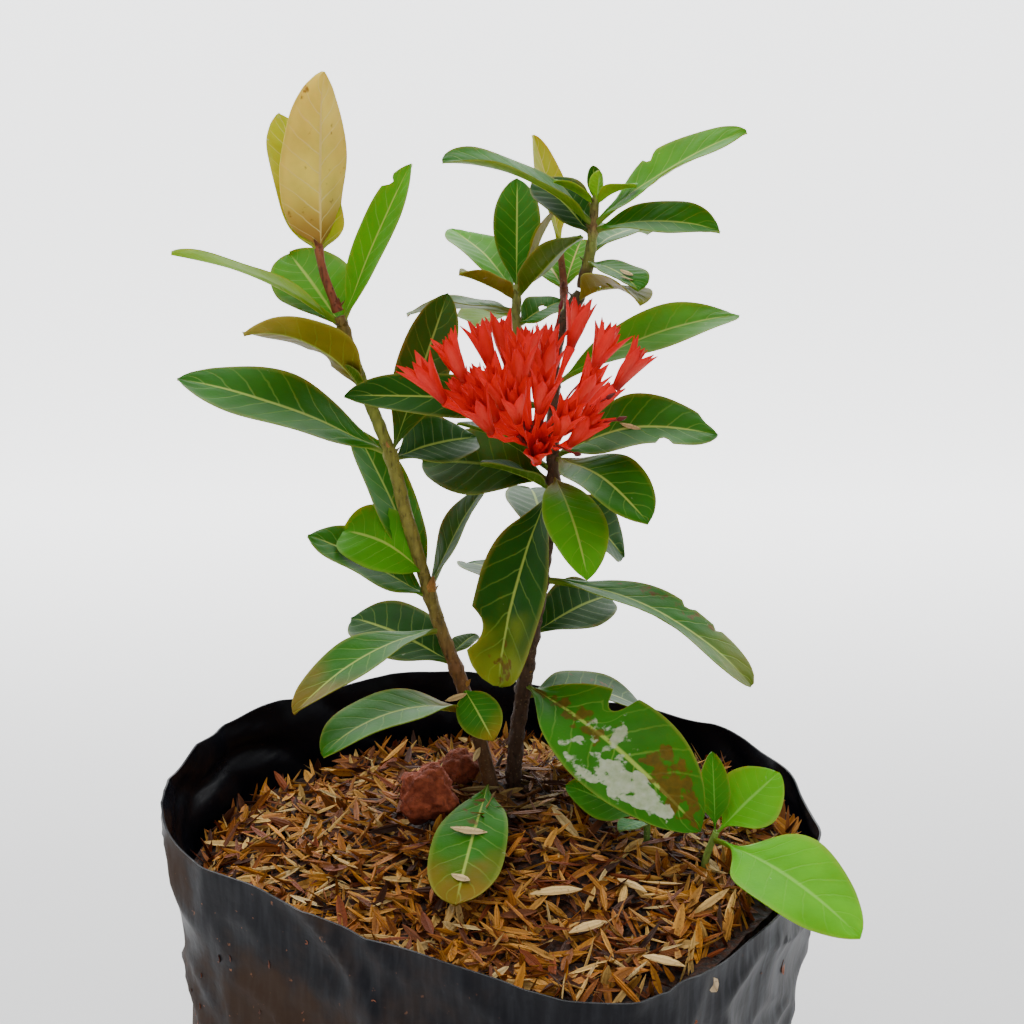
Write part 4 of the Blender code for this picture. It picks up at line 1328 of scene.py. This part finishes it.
def addSingles():
    shape = Shape("husk")
    for x, y, heading, length, width in singles["pale"]:
        place = Vector((x, y, ground(x, y) + 3.0))
        addHusk(shape, place, turned(heading, 4, 180), length, width, singles["paleColour"])
    for x, y, z, heading, length, width in singles["caught"]:
        addHusk(shape, Vector((x, y, z)), turned(heading, 12, 30), length, width, singles["caughtColour"])
    shape.make("pale_husks", "rice_husk", "husk_mulch")


# Bits of husk and soil that stick to the film, most of them at the left of the front.
def addBits():
    draw = random.Random(43)
    shape = Shape("husk")
    for _ in range(singles["bits"]):
        angle = math.radians(draw.choice((draw.gauss(222, 16), draw.uniform(190, 350))))
        height = draw.uniform(*singles["bitHeights"])
        place = spun(angle, filmRadius(angle, height), height)
        turn = turned(math.degrees(angle) + 90, draw.uniform(-90, 90), 0)
        turn = turn @ Matrix.Rotation(math.pi / 2, 3, "X")
        size = draw.choice(singles["bitSizes"])
        colour = draw.choice(singles["bitColours"])
        addHusk(shape, place, turn, size, size * draw.uniform(0.35, 0.8), colour)
    shape.make("stuck_bits", "rice_husk")


addBits()
addSingles()
print("made the mulch")


# --- clay lumps ---
# A rough lump, darker towards its underside.
def addLump(name, node, x, y, z, size, seed, dampAndShade):
    shape = Shape("clay")
    rings = []
    for step in range(1, 32):
        slope = math.pi * step / 32
        ring = []
        for column in range(48):
            out = spun(math.tau * column / 48, math.sin(slope), math.cos(slope))
            rough = noise.noise(out * 1.3 + Vector((seed, 0, 0))) * 0.24
            rough += noise.noise(out * 3 + Vector((seed, 5, 0))) * 0.2
            rough += noise.noise(out * 10 + Vector((seed, 9, 0))) * 0.05
            place = (Vector((x, y, z)) + out * size / 2 * (0.97 + rough)) * mm
            ring.append(shape.point(place, stain=0.75 * smooth(0.0, 0.9, -out.z) + dampAndShade))
        rings.append(ring)
    shape.skin(rings, "clay")
    shape.make(name, "fired_clay", node)


for number, lump in enumerate(mulch["lumps"], 1):
    addLump(f"clay_crumb_{number}", f"clay_lump_{number}", *lump)

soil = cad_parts["potting_mix"]
for slot in soil.material_slots:
    slot.material = finishes["soil"]


# --- floor ---
stage = {"front": -2.5, "back": 0.9, "curve": 0.5, "half": 3.0, "top": 3.0, "steps": 12}


# A pale floor that curves up into a backdrop. It glows further back, where the photo's ground is white.
def addStage():
    profile = [(stage["front"], 0.0), (stage["back"], 0.0)]
    for step in range(1, stage["steps"] + 1):
        angle = math.pi / 2 * step / stage["steps"]
        along = stage["back"] + stage["curve"] * math.sin(angle)
        profile.append((along, stage["curve"] * (1 - math.cos(angle))))
    profile.append((stage["back"] + stage["curve"], stage["top"]))
    points = [(x, y, z) for y, z in profile for x in (-stage["half"], stage["half"])]
    faces = [(near, near + 1, near + 3, near + 2) for near in range(0, len(points) - 2, 2)]
    mesh = bpy.data.meshes.new("pale_floor")
    mesh.from_pydata(points, [], faces)
    mesh.shade_smooth()
    floor = Finish("pale_floor", Roughness=0.9, Specular_IOR_Level=0.1, Emission_Strength=light["backdrop"])
    far = floor.add("ShaderNodeSeparateXYZ", {}, floor.place(), out=1).rising(0.05, 0.9)
    cloth = floor.blend(floor.noise(6, 3.0), (0.84, 0.84, 0.85), (0.88, 0.88, 0.89))
    glow = floor.blend(far, (0.0, 0.0, 0.0), (0.98, 0.99, 1.0))
    mesh.materials.append(floor.wear(Base_Color=cloth, Emission_Color=glow))
    addObject("pale_floor", mesh)


addStage()
